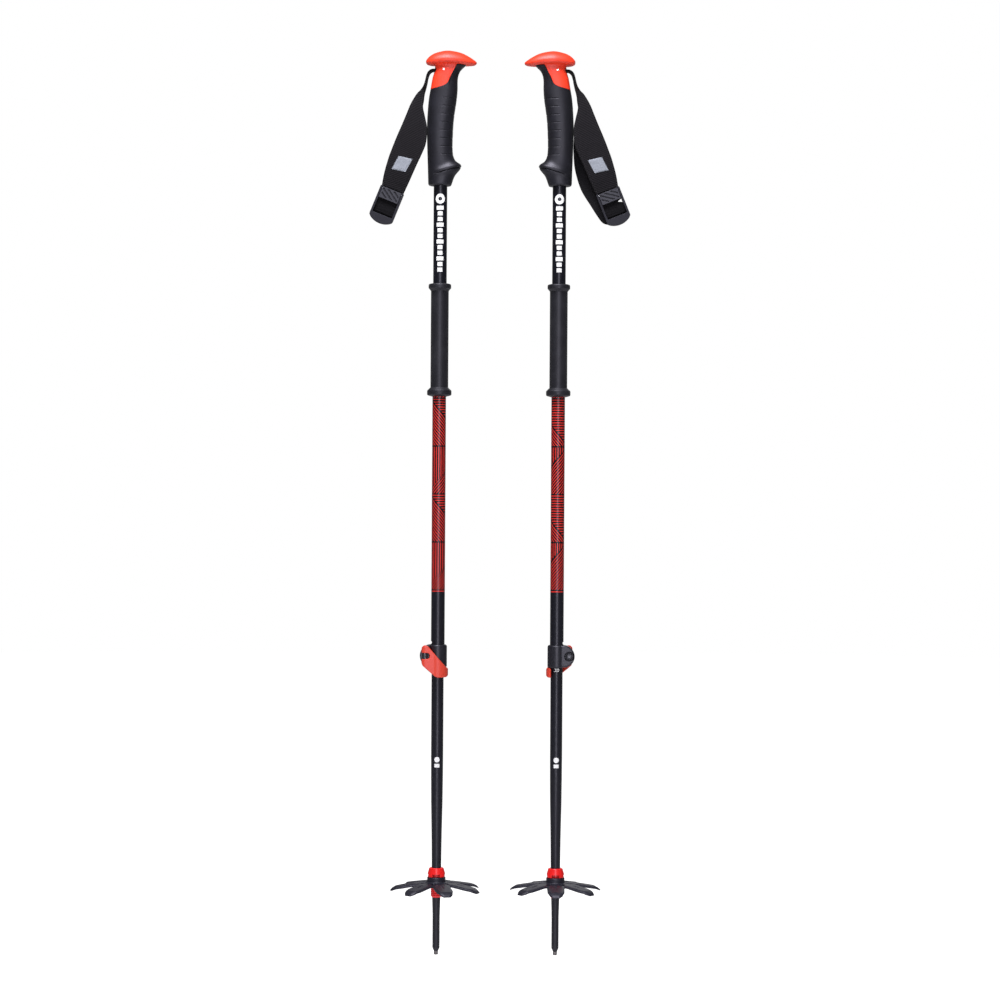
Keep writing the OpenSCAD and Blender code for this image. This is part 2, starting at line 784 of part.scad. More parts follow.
for (side = SIDES) {
    pole_place(side) upper_section() upper_tube();
    pole_place(side) upper_section() grip_extension();
    pole_place(side) upper_section() grip_core();
    pole_place(side) upper_section() grip_body();
    pole_place(side) upper_section() grip_head();
    pole_place(side) upper_section() strap_pin();
    pole_place(side) upper_section() strap_anchor();
    pole_place(side) upper_section() clamp_collar();
    pole_place(side) upper_section() draw_bolt();
    pole_place(side) upper_section() tension_nut();
    pole_place(side) upper_section() lever_axle();
    pole_place(side) upper_section() clamp_lever();
    pole_place(side) lower_tube();
    pole_place(side) tube_plug();
    pole_place(side) tip_ferrule();
    pole_place(side) tip_shank();
    pole_place(side) carbide_tip();
    // An arm of the right basket points straight at the -Y side
    pole_place(side) basket(side == "left" ? 15 : 180 / basket_arms);
    strap_place(side) strap_neck();
    strap_place(side) strap_pad(side);
    strap_place(side) strap_back_web(side);
    strap_place(side) buckle_frame();
    strap_place(side) buckle_axle();
    // The grooves slant the same way on both buckles, so the mirror image turns them round
    strap_place(side) buckle_cam(side == "left" ? 1 : -1);
}
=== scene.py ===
"""Looks for a pair of telescoping touring poles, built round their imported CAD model.

Sizes here are millimetres in a pole's own frame: Z up along the shaft, X towards the fingers, the strap
on -X and the clamp lever on -Y. Each pole's matrix turns them into metres in the shared frame.
"""

import json
import math

import bmesh
import bpy
import numpy as np
from mathutils import Matrix, Vector

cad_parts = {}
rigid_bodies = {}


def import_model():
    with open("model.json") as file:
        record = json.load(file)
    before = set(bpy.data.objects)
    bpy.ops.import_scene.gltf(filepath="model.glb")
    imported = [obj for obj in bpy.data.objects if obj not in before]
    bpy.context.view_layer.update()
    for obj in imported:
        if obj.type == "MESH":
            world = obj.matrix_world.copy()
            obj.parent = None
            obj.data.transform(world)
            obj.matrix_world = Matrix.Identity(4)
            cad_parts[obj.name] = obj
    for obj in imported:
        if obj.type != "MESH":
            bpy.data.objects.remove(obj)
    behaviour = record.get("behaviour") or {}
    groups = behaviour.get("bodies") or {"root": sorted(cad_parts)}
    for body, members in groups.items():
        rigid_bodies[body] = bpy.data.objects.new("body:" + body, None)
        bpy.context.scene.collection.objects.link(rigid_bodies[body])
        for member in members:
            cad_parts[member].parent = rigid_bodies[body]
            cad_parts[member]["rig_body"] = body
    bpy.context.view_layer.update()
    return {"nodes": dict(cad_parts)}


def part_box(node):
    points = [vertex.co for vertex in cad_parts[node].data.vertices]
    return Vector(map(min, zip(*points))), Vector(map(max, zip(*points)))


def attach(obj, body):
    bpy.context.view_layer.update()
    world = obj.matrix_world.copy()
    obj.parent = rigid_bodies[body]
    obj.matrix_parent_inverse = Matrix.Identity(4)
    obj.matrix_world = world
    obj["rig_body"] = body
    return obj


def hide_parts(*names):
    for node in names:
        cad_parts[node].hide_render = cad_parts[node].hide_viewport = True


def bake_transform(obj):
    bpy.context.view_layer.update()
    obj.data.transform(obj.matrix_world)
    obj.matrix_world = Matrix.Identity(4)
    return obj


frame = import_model()

MM = 0.001
SIDES = ("left", "right")


def pole_axis(side):
    """Where a pole's shaft stands, in metres along X."""
    low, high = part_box(f"{side}_lower_tube")
    return (low.x + high.x) / 2


MIRROR = Matrix.Diagonal((-1, 1, 1, 1))
# A pole's own frame in the shared one, without scale: the right pole is turned half round
POLE = {
    side: Matrix.Translation((pole_axis(side), 0, 0)) @ Matrix.Rotation(math.pi * (side == "right"), 4, "Z")
    for side in SIDES
}
# Straps hang alike on both poles, so the right one is a mirror image of the left one
STRAP = {"left": POLE["left"], "right": Matrix.Translation((pole_axis("right"), 0, 0)) @ MIRROR}


# ---------- Numbers ----------


def smoothstep(value, start, end):
    """0 before start, 1 after end, and an even turn between them."""
    t = np.clip((np.asarray(value, float) - start) / (end - start), 0, 1)
    return t * t * (3 - 2 * t)


def between(rows, steps):
    """Rows of numbers with more rows put between them, on a smooth curve through them all."""
    rows = np.array(rows, float)
    last = len(rows) - 1
    out = []
    for k in range(last):
        a, b, c, d = rows[max(k - 1, 0)], rows[k], rows[k + 1], rows[min(k + 2, last)]
        squared_part = 2 * a - 5 * b + 4 * c - d
        cubed_part = 3 * b - a - 3 * c + d
        for i in range(steps):
            t = i / steps
            out.append(0.5 * (2 * b + (c - a) * t + squared_part * t**2 + cubed_part * t**3))
    out.append(rows[-1])
    return np.array(out)


def travelled(points):
    """How far along a line of points each one lies."""
    return np.concatenate([[0], np.cumsum(np.linalg.norm(np.diff(points, axis=0), axis=1))])


def squared(value, power):
    """A value with its size raised to a power under 1, which squares up an ellipse."""
    return np.sign(value) * np.abs(value) ** power


# ---------- Materials ----------


# Reflections lean a little towards blue, as they do under daylight lamps
SHEEN_OF_DAYLIGHT = (0.86, 0.84, 1.0, 1.0)


class Paint:
    """Short calls for a material's nodes: each returns the socket that the next one takes."""

    def __init__(self, name):
        self.material = bpy.data.materials.new(name)
        self.material.use_nodes = True
        self.tree = self.material.node_tree
        self.shader = self.tree.nodes["Principled BSDF"]

    def node(self, kind, inputs=(), **settings):
        """A node with its inputs, by name or number, fed with values or sockets."""
        made = self.tree.nodes.new(kind)
        for key, value in settings.items():
            setattr(made, key, value)
        for key, value in dict(inputs).items():
            self.feed(made.inputs[key], value)
        return made

    def feed(self, socket, value):
        """Links a socket to another, or sets its value."""
        if isinstance(value, bpy.types.NodeSocket):
            self.tree.links.new(value, socket)
        else:
            socket.default_value = value

    def math(self, operation, a, b=0.0, c=0.0):
        """The result of one sum on up to three numbers."""
        return self.node("ShaderNodeMath", {0: a, 1: b, 2: c}, operation=operation).outputs[0]

    def mix(self, factor, a, b):
        """A number between a and b."""
        return self.node("ShaderNodeMix", {0: factor, 2: a, 3: b}).outputs[0]

    def blend(self, factor, a, b):
        """A colour between a and b."""
        made = self.node("ShaderNodeMix", {0: factor}, data_type="RGBA")
        self.feed(made.inputs[6], a)
        self.feed(made.inputs[7], b)
        return made.outputs[2]

    def near(self, value, centre, reach, soft):
        """1 where value is within reach of centre, falling to 0 over soft."""
        off = self.math("ABSOLUTE", self.math("SUBTRACT", value, centre))
        return self.ramp(off, reach + soft, reach - soft)

    def ramp(self, value, start, end):
        """0 at start and 1 at end, smoothly, whichever of the two is larger."""
        falls = start > end
        inputs = {0: value, 1: min(start, end), 2: max(start, end), 3: float(falls), 4: float(not falls)}
        return self.node("ShaderNodeMapRange", inputs, interpolation_type="SMOOTHSTEP").outputs[0]

    def far(self, a, b):
        """How far the point a, b is from 0, 0."""
        return self.math("SQRT", self.math("ADD", self.math("POWER", a, 2.0), self.math("POWER", b, 2.0)))

    def place(self, side=None):
        """The rest position in millimetres: in the pole's own frame if a side is named."""
        at = self.node("ShaderNodeTexCoord").outputs["Object"]
        if side:
            turn = math.pi * (side == "right")
            shift = (-pole_axis(side) * math.cos(turn), 0, 0)
            inputs = {"Vector": at, "Location": shift, "Rotation": (0, 0, -turn)}
            at = self.node("ShaderNodeMapping", inputs).outputs[0]
        return self.node("ShaderNodeVectorMath", {0: at, "Scale": 1000.0}, operation="SCALE").outputs[0]

    def split(self, vector):
        """The X, Y and Z of a vector."""
        return self.node("ShaderNodeSeparateXYZ", {0: vector}).outputs

    def noise(self, at, size, detail=2.0, stretch=None):
        """Noise from 0 to 1, with features about size millimetres across."""
        if stretch:
            at = self.node("ShaderNodeVectorMath", {0: at, 1: stretch}, operation="MULTIPLY").outputs[0]
        made = self.node("ShaderNodeTexNoise", {"Vector": at, "Scale": 1 / size, "Detail": detail})
        return made.outputs[0]

    def bump(self, height, depth, under=None):
        """A normal from a height from 0 to 1 that is depth millimetres deep, laid over the one under it."""
        inputs = {"Height": height, "Distance": depth * MM}
        if under:
            inputs["Normal"] = under
        return self.node("ShaderNodeBump", inputs).outputs[0]

    def finish(self, **values):
        """Sets the shader's own sockets: Base_Color=..., Roughness=... and so on."""
        values.setdefault("Specular_Tint", SHEEN_OF_DAYLIGHT)
        for key, value in values.items():
            self.feed(self.shader.inputs[key.replace("_", " ")], value)
        return self.material


def rgb(red, green, blue):
    """A screen colour, 0 to 255, as the linear one that a shader takes."""

    def linear(v):
        v /= 255
        return v / 12.92 if v <= 0.04045 else ((v + 0.055) / 1.055) ** 2.4

    return (linear(red), linear(green), linear(blue), 1.0)


def plastic(name, dark, light, rough, grain=0.5, depth=0.02, coat=0.0, specular=0.5, hollow_shade=0.0):
    """Moulded plastic: two close tones in soft clouds, a fine grain, and painted shade that darkens its
    hollows and the surface beside parts close to it.
    """
    p = Paint(name)
    at = p.place()
    cloud = p.noise(at, 14.0)
    fine = p.noise(at, grain, 3.0)
    scuffs = p.ramp(p.noise(at, 2.2, 4.0), 0.58, 0.72)
    colour = p.blend(cloud, dark, light)
    if hollow_shade:
        # Painted shade: the colour falls to near black where little open sky reaches the surface, within the
        # given reach in millimetres
        open_sky = p.node("ShaderNodeAmbientOcclusion", {"Distance": hollow_shade * MM}).outputs["AO"]
        painted_shade = tuple(v * 0.06 for v in dark[:3]) + (1,)
        colour = p.blend(p.ramp(open_sky, 0.6, 0.97), painted_shade, colour)
    roughness = p.math("ADD", p.mix(fine, rough - 0.05, rough + 0.05), p.math("MULTIPLY", scuffs, 0.05))
    return p.finish(
        Base_Color=colour, Roughness=roughness, Normal=p.bump(fine, depth), Coat_Weight=coat,
        Coat_Roughness=0.2, Specular_IOR_Level=specular,
    )


def metal(name, dark, light, rough):
    """Turned steel: fine rings from the tool, and a few soft stains."""
    p = Paint(name)
    at = p.place()
    rings = p.noise(at, 0.5, 2.0, stretch=(0.05, 0.05, 1.0))
    stain = p.noise(at, 3.0, 3.0)
    return p.finish(
        Base_Color=p.blend(stain, dark, light), Metallic=1.0,
        Roughness=p.mix(rings, rough - 0.06, rough + 0.08), Normal=p.bump(rings, 0.008),
    )


UPPER_R = 9.0
# The printed pattern: its top, the height of a block, and how many lines a block or a turn has
PATTERN_TOP = 738.4
BLOCK = 63.5
BLOCKS = 4
LEVEL_LINES = 19
SLANT_LINES = 14
UPRIGHT_LINES = 18
# The plain white bars under the grip, and the ring over them
BARS_TOP = 993.4
BAR_PITCH = 7.46
BAR_LENGTH = 5.3
BARS = 12
FULL_HALF = 4.85
NARROW_HALF = 3.4
RING_Z = 1002.8
RING_R = 6.6
RING_HOLE = 2.55
# How softly a white mark ends
PRINT_EDGE = 0.12


def shaft_black(p, at):
    """Colour, roughness and height of a black anodised tube, with its fine drawing marks along Z."""
    drawn = p.noise(at, 0.7, 3.0, stretch=(1.0, 1.0, 0.02))
    cloud = p.noise(at, 30.0)
    colour = p.blend(cloud, rgb(6, 7, 14), rgb(12, 13, 22))
    return colour, p.mix(drawn, 0.3, 0.4), drawn


def printed_lines(p, turn, down):
    """The mosaic of level, upright and slanting lines in four blocks: 1 on a line, and 1 on the whole print.

    turn is the share of a turn round the tube, and down is how many blocks below the print's top."""
    share = p.math("FRACT", p.math("ADD", down, BLOCKS))
    second = p.math("MODULO", p.math("FLOOR", p.math("ADD", down, BLOCKS)), 2.0)

    # Where the slanting lines begin, as a share of the block, and how far below that a point is
    first_edge = p.math("SUBTRACT", turn, 0.02)
    second_edge = p.math("MULTIPLY_ADD", turn, -0.93, 0.93)
    below = p.math("SUBTRACT", share, p.mix(second, first_edge, second_edge))
    slanting = p.math("GREATER_THAN", below, 0.0)

    level = p.math("MULTIPLY", share, LEVEL_LINES)
    upright = p.math("MULTIPLY", turn, UPRIGHT_LINES)
    falling = p.math("MULTIPLY", p.math("SUBTRACT", share, turn), SLANT_LINES)
    rising = p.math("MULTIPLY", p.math("ADD", share, turn), SLANT_LINES)
    phase = p.mix(slanting, p.mix(second, level, upright), p.mix(second, falling, rising))
    line = p.near(p.math("FRACT", phase), 0.5, 0.2, 0.03)

    # Dark gaps along the edge between the two kinds of line and between blocks
    seam = p.near(below, 0.0, 0.012, 0.004)
    joint = p.near(share, 0.5, 0.485, 0.003)
    within = p.near(down, BLOCKS / 2, BLOCKS / 2 + 0.05, 0.002)
    clear = p.math("MULTIPLY", within, p.math("SUBTRACT", 1.0, seam))
    return p.math("MULTIPLY", p.math("MULTIPLY", line, joint), clear), within


def white_marks(p, x, y, z):
    """1 on the plain white marks on both faces of the upper tube: a ring, and bars, every third one full."""
    across = p.math("MULTIPLY", p.math("ARCTAN2", x, p.math("ABSOLUTE", y)), UPPER_R)
    fall = p.math("DIVIDE", p.math("SUBTRACT", BARS_TOP, z), BAR_PITCH)
    under_top = p.math("MULTIPLY", p.math("FRACT", fall), BAR_PITCH)
    bar = p.near(under_top, BAR_LENGTH / 2, BAR_LENGTH / 2, PRINT_EDGE)
    in_row = p.near(fall, BARS / 2, BARS / 2, 0.005)
    is_narrow = p.math("GREATER_THAN", p.math("MODULO", p.math("FLOOR", fall), 3.0), 0.5)
    half = p.mix(is_narrow, FULL_HALF, NARROW_HALF)
    wide = p.ramp(p.math("SUBTRACT", p.math("ABSOLUTE", across), half), PRINT_EDGE, -PRINT_EDGE)
    bars = p.math("MULTIPLY", p.math("MULTIPLY", bar, in_row), wide)
    from_ring = p.far(across, p.math("SUBTRACT", z, RING_Z))
    disc = p.ramp(from_ring, RING_R + PRINT_EDGE, RING_R - PRINT_EDGE)
    ring = p.math("MULTIPLY", disc, p.ramp(from_ring, RING_HOLE - 0.15, RING_HOLE + 0.15))
    return p.math("MAXIMUM", bars, ring)


def upper_shaft(side):
    """Black tube with a printed mosaic of red lines and, under the grip, plain white marks."""
    p = Paint(f"upper_shaft_{side}")
    at = p.place(side)
    x, y, z = p.split(at)
    turn = p.math("DIVIDE", p.math("ADD", p.math("ARCTAN2", y, x), math.pi), 2 * math.pi)
    down = p.math("DIVIDE", p.math("SUBTRACT", PATTERN_TOP, z), BLOCK)
    line, within = printed_lines(p, turn, down)
    marks = white_marks(p, x, y, z)
    black, rough, drawn = shaft_black(p, at)
    red = p.blend(p.noise(at, 9.0), rgb(216, 50, 41), rgb(198, 40, 34))
    colour = p.blend(line, black, red)
    colour = p.blend(p.math("MULTIPLY", within, p.math("SUBTRACT", 1.0, line)), colour, rgb(12, 2, 3))
    colour = p.blend(marks, colour, rgb(238, 238, 240))
    normal = p.bump(p.math("MAXIMUM", line, marks), 0.03, under=p.bump(drawn, 0.004))
    return p.finish(
        Base_Color=colour, Roughness=p.mix(line, rough, 0.34), Normal=normal, Specular_IOR_Level=0.5
    )


LOWER_R = 8.0
DIGITS_Z = 378.7
# The mark on the lower tube, and the tapering tube's radius there
MARK_Z = 256.0
MARK_R = 7.9
DOT_RISE = 3.4
DOT_R = 3.6
BAR_DROP = 4.6
BAR_HALF_WIDTH = 3.5
BAR_HALF_HEIGHT = 2.4


def lower_shaft(side):
    """Black tube with one plain printed mark near its lower end, on both faces: a dot over a bar."""
    p = Paint(f"lower_shaft_{side}")
    at = p.place(side)
    x, y, z = p.split(at)
    across = p.math("MULTIPLY", p.math("ARCTAN2", x, p.math("ABSOLUTE", y)), MARK_R)
    height = p.math("SUBTRACT", z, MARK_Z)
    dot = p.ramp(p.far(across, p.math("SUBTRACT", height, DOT_RISE)), DOT_R + 0.1, DOT_R - 0.1)
    beside = p.near(across, 0.0, BAR_HALF_WIDTH, 0.1)
    bar = p.math("MULTIPLY", beside, p.near(height, -BAR_DROP, BAR_HALF_HEIGHT, 0.1))
    marks = p.math("MAXIMUM", dot, bar)
    black, rough, drawn = shaft_black(p, at)
    normal = p.bump(marks, 0.02, under=p.bump(drawn, 0.004))
    return p.finish(Base_Color=p.blend(marks, black, rgb(232, 232, 236)), Roughness=rough, Normal=normal)


def rubber(name, dark, light, rough, dimples=0.7):
    """Soft matt rubber with a fine leathery skin and paler wear where hands rub it."""
    p = Paint(name)
    at = p.place()
    skin_dimples = p.node("ShaderNodeTexVoronoi", {"Vector": at, "Scale": 1 / dimples}).outputs[0]
    fine = p.noise(at, 0.35, 3.0)
    rubbed = p.ramp(p.noise(at, 18.0, 2.0), 0.4, 0.7)
    colour = p.blend(rubbed, dark, light)
    height = p.math("ADD", p.math("MULTIPLY", skin_dimples, 0.6), p.math("MULTIPLY", fine, 0.4))
    return p.finish(
        Base_Color=colour, Roughness=p.mix(fine, rough - 0.06, rough + 0.06), Normal=p.bump(height, 0.035),
        Sheen_Weight=0.03, Sheen_Roughness=0.5, Specular_IOR_Level=0.45,
    )


def fabric(name, dark, light, pitch, slant, sheen=0.06):
    """Woven band: twill ribs at a slant, threads across them, a little fuzz and painted shade between ribs
    and threads, on a map in millimetres.
    """
    p = Paint(name)
    at = p.node("ShaderNodeUVMap", uv_map="weave").outputs[0]
    u, v, _ = p.split(at)
    c, s = math.cos(slant), math.sin(slant)
    finer = pitch * 0.55
    rib_at = p.math("ADD", p.math("MULTIPLY", u, c / pitch), p.math("MULTIPLY", v, s / pitch))
    thread_at = p.math("ADD", p.math("MULTIPLY", u, -s / finer), p.math("MULTIPLY", v, c / finer))
    rib = p.math("PINGPONG", rib_at, 0.5)
    thread = p.math("PINGPONG", thread_at, 0.5)
    fuzz = p.noise(at, 0.5, 3.0)
    height = p.math("ADD", p.math("MULTIPLY", rib, 1.3), p.math("MULTIPLY", thread, 0.5))
    height = p.math("ADD", height, p.math("MULTIPLY", fuzz, 0.25))
    cloud = p.noise(at, 16.0)
    # Painted shade in the weave: the colour is darker in the low parts between ribs and threads and lighter
    # on their tops
    colour = p.blend(p.math("MULTIPLY_ADD", height, 0.75, -0.1), dark, light)
    colour = p.blend(p.math("MULTIPLY", cloud, 0.25), colour, dark)
    return p.finish(
        Base_Color=colour, Roughness=0.85, Normal=p.bump(height, 0.3), Sheen_Weight=sheen,
        Sheen_Roughness=0.45, Specular_IOR_Level=0.15,
    )


PAINTS = {
    "grip_rubber": rubber("grip_rubber", rgb(12, 12, 18), rgb(19, 19, 26), 0.44),
    "extension_rubber": rubber("extension_rubber", rgb(20, 20, 25), rgb(28, 28, 33), 0.46, dimples=0.5),
    "core_plastic": plastic("core_plastic", rgb(44, 44, 48), rgb(52, 52, 56), 0.5),
    "head_plastic": plastic("head_plastic", rgb(230, 54, 28), rgb(238, 64, 34), 0.45, depth=0.01),
    "bright_steel": metal("bright_steel", rgb(168, 170, 176), rgb(205, 206, 212), 0.28),
    "webbing": fabric("webbing", rgb(5, 5, 6), rgb(26, 24, 27), 2.0, math.radians(60)),
    "strap_padding": fabric("strap_padding", rgb(3, 3, 4), rgb(46, 43, 47), 2.8, math.radians(50)),
    "badge": fabric("badge", rgb(140, 144, 156), rgb(166, 170, 182), 0.9, 0.0, sheen=0.1),
    "thread": fabric("thread", rgb(34, 32, 36), rgb(66, 63, 70), 0.5, math.radians(30)),
    # The buckle, cam and clamp plastics get painted shade in their hollows and beside the parts that lie
    # close over them
    "buckle_plastic": plastic(
        "buckle_plastic", rgb(18, 18, 24), rgb(25, 25, 32), 0.5, specular=0.3, hollow_shade=2.0
    ),
    "cam_plastic": plastic("cam_plastic", rgb(50, 50, 57), rgb(60, 60, 67), 0.5, specular=0.25, hollow_shade=2.2),
    "clamp_plastic": plastic(
        "clamp_plastic", rgb(20, 20, 26), rgb(27, 27, 34), 0.38, grain=0.4, depth=0.016, hollow_shade=2.5
    ),
    "lever_alloy": plastic("lever_alloy", rgb(206, 60, 42), rgb(214, 68, 48), 0.42, grain=0.4, depth=0.014),
    "plug_plastic": plastic("plug_plastic", rgb(222, 222, 224), rgb(232, 232, 234), 0.4),
    "ferrule_plastic": plastic(
        "ferrule_plastic", rgb(226, 26, 26), rgb(234, 32, 30), 0.34, depth=0.012, coat=0.1
    ),
    "shank_plastic": plastic("shank_plastic", rgb(12, 12, 17), rgb(19, 19, 25), 0.4),
    "nut_steel": metal("nut_steel", rgb(20, 20, 23), rgb(38, 38, 42), 0.25),
    "eye_steel": metal("eye_steel", rgb(70, 70, 77), rgb(98, 98, 105), 0.42),
    "carbide": metal("carbide", rgb(96, 92, 96), rgb(140, 134, 136), 0.4),
    "basket_plastic": plastic("basket_plastic", rgb(25, 25, 35), rgb(33, 33, 44), 0.46),
    "print_white": plastic("print_white", rgb(232, 232, 236), rgb(240, 240, 242), 0.5, depth=0.004),
}
for side in SIDES:
    PAINTS[f"upper_shaft_{side}"] = upper_shaft(side)
    PAINTS[f"lower_shaft_{side}"] = lower_shaft(side)


def paint(obj, name):
    """Gives an object one of the materials above, in place of any that it has."""
    obj.data.materials.clear()
    obj.data.materials.append(PAINTS[name])


# ---------- Meshes ----------


def add_piece(name, points, faces, matrix, body, material, stands_for=(), weave=None):
    """A smooth-shaded mesh from points in millimetres, placed by matrix. It rides on a body if one is named.

    A mirrored piece has the mirroring in its points, so its matrix only turns and moves it."""
    mesh = bpy.data.meshes.new(name)
    points = np.asarray(points, float) * MM
    if matrix.determinant() < 0:
        points = points * (-1, 1, 1)
        matrix = matrix @ MIRROR
        faces = [tuple(reversed(f)) for f in faces]
    mesh.from_pydata([tuple(p) for p in points], [], faces)
    if weave is not None:
        layer = mesh.uv_layers.new(name="weave")
        for loop in mesh.loops:
            layer.data[loop.index].uv = weave[loop.vertex_index]
    mesh.shade_smooth()
    mesh.validate()
    obj = bpy.data.objects.new(name, mesh)
    bpy.context.scene.collection.objects.link(obj)
    obj.matrix_world = matrix
    paint(obj, material)
    if body:
        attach(obj, body)
    if stands_for:
        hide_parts(*stands_for)
    return obj


def skin(rings):
    """Points and faces of a closed skin over rings of equal length, with a fan at each end."""
    rings = [np.asarray(r, float) for r in rings]
    n = len(rings[0])
    points = np.concatenate(rings)
    faces = [
        (k * n + i, k * n + (i + 1) % n, (k + 1) * n + (i + 1) % n, (k + 1) * n + i)
        for k in range(len(rings) - 1)
        for i in range(n)
    ]
    first, last = len(points), len(points) + 1
    points = np.vstack([points, rings[0].mean(0), rings[-1].mean(0)])
    base = (len(rings) - 1) * n
    faces += [((i + 1) % n, i, first) for i in range(n)]
    faces += [(base + i, base + (i + 1) % n, last) for i in range(n)]
    return points, faces_out(points, faces)


def faces_out(points, faces):
    """The faces of a closed skin, turned so that they all face outwards."""
    p = points
    volume = sum(
        np.dot(p[f[0]], np.cross(p[f[i]], p[f[i + 1]])) for f in faces for i in range(1, len(f) - 1)
    )
    return faces if volume > 0 else [tuple(reversed(f)) for f in faces]


def joined(skins):
    """Several skins as one set of points and faces."""
    points, faces, count = [], [], 0
    for skin_points, skin_faces in skins:
        points.append(skin_points)
        faces += [tuple(i + count for i in face) for face in skin_faces]
        count += len(skin_points)
    return np.vstack(points), faces


def applied(obj):
    """Replaces an object's mesh by what its modifiers make of it."""
    graph = bpy.context.evaluated_depsgraph_get()
    mesh = bpy.data.meshes.new_from_object(obj.evaluated_get(graph))
    obj.modifiers.clear()
    obj.data = mesh
    obj.data.shade_smooth()
    return obj


def add_remesh(obj, voxel):
    """One even skin over the object, from cells of a size in millimetres."""
    remesh = obj.modifiers.new("skin", "REMESH")
    remesh.mode = "VOXEL"
    remesh.voxel_size = voxel * MM


def add_softening(obj, rounds):
    """Corners rounded as a mould leaves them."""
    soften = obj.modifiers.new("soften", "SMOOTH")
    soften.factor = 0.5
    soften.iterations = rounds


def weld(mesh):
    """Joins the CAD mesh's faces where they meet."""
    work = bmesh.new()
    work.from_mesh(mesh)
    bmesh.ops.remove_doubles(work, verts=work.verts, dist=0.002 * MM)
    work.to_mesh(mesh)
    work.free()


def reshaped(mesh, shape):
    """Moves the mesh's points to where a function puts them, all at once."""
    points = np.empty(len(mesh.vertices) * 3, np.float32)
    mesh.vertices.foreach_get("co", points)
    mesh.vertices.foreach_set("co", shape(points.reshape(-1, 3)).astype(np.float32).ravel())


def moulded(node, voxel, rounds, material, shape=None, lean=0.0):
    """A piece with a CAD node's shape and place and with moulded edges, that stands for the node.

    shape gives the skin's points relief. lean turns the skin's grid about Y, so that it runs along the flat
    faces of a tilted piece."""
    source = frame["nodes"][node]
    obj = bpy.data.objects.new(f"{node}_moulded", source.data.copy())
    bpy.context.scene.collection.objects.link(obj)
    along = Matrix.Rotation(lean, 4, "Y")
    obj.data.transform(along.inverted())
    obj.matrix_world = along
    bpy.context.view_layer.update()
    weld(obj.data)
    add_remesh(obj, voxel)
    if shape:
        add_softening(obj, 1)
        applied(obj)
        reshaped(obj.data, shape)
    add_softening(obj, rounds)
    applied(obj)
    paint(obj, material)
    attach(obj, source["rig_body"])
    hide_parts(node)
    return obj


# ---------- Grip and head ----------

GRIP_BOTTOM = 1020.6
# Rings round the grip keep their shape up to here, and lean towards the parting line above it
EVEN_TOP = 1140.0
# The neck's top, inside the head's cap
NECK_TOP = 1184.9
# Stations of the grip: back X, back Z, front X, front Z, half width
GRIP_STATIONS = [
    (-13.5, 1020.6, 13.2, 1020.6, 12.4),
    (-16.1, 1022.6, 14.7, 1022.6, 14.4),
    (-16.5, 1028.0, 19.0, 1034.0, 15.2),
    (-16.6, 1031.5, 26.4, 1043.0, 17.2),
    (-16.7, 1035.0, 26.8, 1048.6, 16.6),
    (-16.9, 1042.0, 19.2, 1054.8, 14.3),
    (-17.4, 1056.0, 15.9, 1067.0, 13.8),
    (-18.4, 1090.0, 16.2, 1092.0, 14.6),
    (-18.0, 1112.0, 17.6, 1112.0, 14.8),
    (-16.4, 1134.0, 20.8, 1134.0, 14.0),
    (-14.0, 1149.0, 22.0, 1149.0, 13.2),
    (-11.6, 1163.0, 22.2, 1163.0, 12.4),
    (-8.8, 1173.0, 25.4, 1173.0, 12.0),
    (-8.2, 1181.0, 33.0, 1181.0, 12.6),
    (-8.2, 1185.0, 33.0, 1185.0, 12.6),
]
GRIP_ROWS = between(GRIP_STATIONS, 4)
GROOVES = [1061.7 + 10.64 * i for i in range(8)]
LEDGE_CREASE = 1045.4
# Where the head's neck ends and the rubber begins, seen from the side
PARTING_LINE = between(
    [(-30, 1146), (-14, 1148), (-2, 1150.5), (6, 1153.5), (10.2, 1158.5), (13.5, 1168), (16.6, 1176.5),
     (21, 1181), (60, 1181)], 6
)


def grip_point(level, angle):
    """The grip's surface at the height where it meets the front, and an angle round it from the front."""
    x0, z0, x1, half = (np.interp(level, GRIP_ROWS[:, 3], GRIP_ROWS[:, k]) for k in (0, 1, 2, 4))
    c, w = squared(np.cos(angle), 0.86), squared(np.sin(angle), 0.86)
    groove = sum(1 - smoothstep(np.abs(level - g), 0.25, 0.8) for g in GROOVES)
    sunk = smoothstep(c, 0.03, 0.08) * groove * (0.75 - 0.3 * smoothstep(c, 0.5, 1.0))
    # A crease runs down the ledge from its tip towards the back, between a soft roll and a step
    reach = smoothstep(c, -0.8, -0.2) * (1 - 0.6 * smoothstep(c, 0.75, 1.0))
    crease = 1.25 * np.exp(-(((level - LEDGE_CREASE) / 0.7) ** 2))
    roll = 0.5 * np.exp(-(((level - LEDGE_CREASE - 4.1) / 2.4) ** 2))
    under_crease = 1 - smoothstep(level, LEDGE_CREASE - 0.4, LEDGE_CREASE + 1.2)
    step = 0.8 * under_crease * smoothstep(level, 1031, 1043)
    sunk = sunk + 1.3 * reach * (crease - roll + step)
    # Rings tilt with the ledge below, and lie level in front of the middle higher up
    tilted = (1 + c) / 2
    flat = 1.0 if c > 0 else 1 + c
    rise = tilted + (flat - tilted) * smoothstep(level, 1050, 1061)
    middle = (x0 + x1) / 2
    return np.array([middle + c * ((x1 - x0) / 2 - sunk), w * (half - sunk), z0 + (level - z0) * rise])


def under_parting(level, angle):
    """Whether the surface at a level and an angle lies under the parting line."""
    x, _, z = grip_point(level, angle)
    return z < np.interp(x, PARTING_LINE[:, 0], PARTING_LINE[:, 1])


def parting_level(angle):
    """The level at which the surface at an angle reaches the parting line."""
    low, high = 1120.0, NECK_TOP
    if under_parting(high, angle):
        return high
    for _ in range(30):
        middle = (low + high) / 2
        if under_parting(middle, angle):
            low = middle
        else:
            high = middle
    return low


AROUND = 112
ANGLES = [2 * math.pi * i / AROUND for i in range(AROUND)]
PART_LEVELS = [parting_level(a) for a in ANGLES]


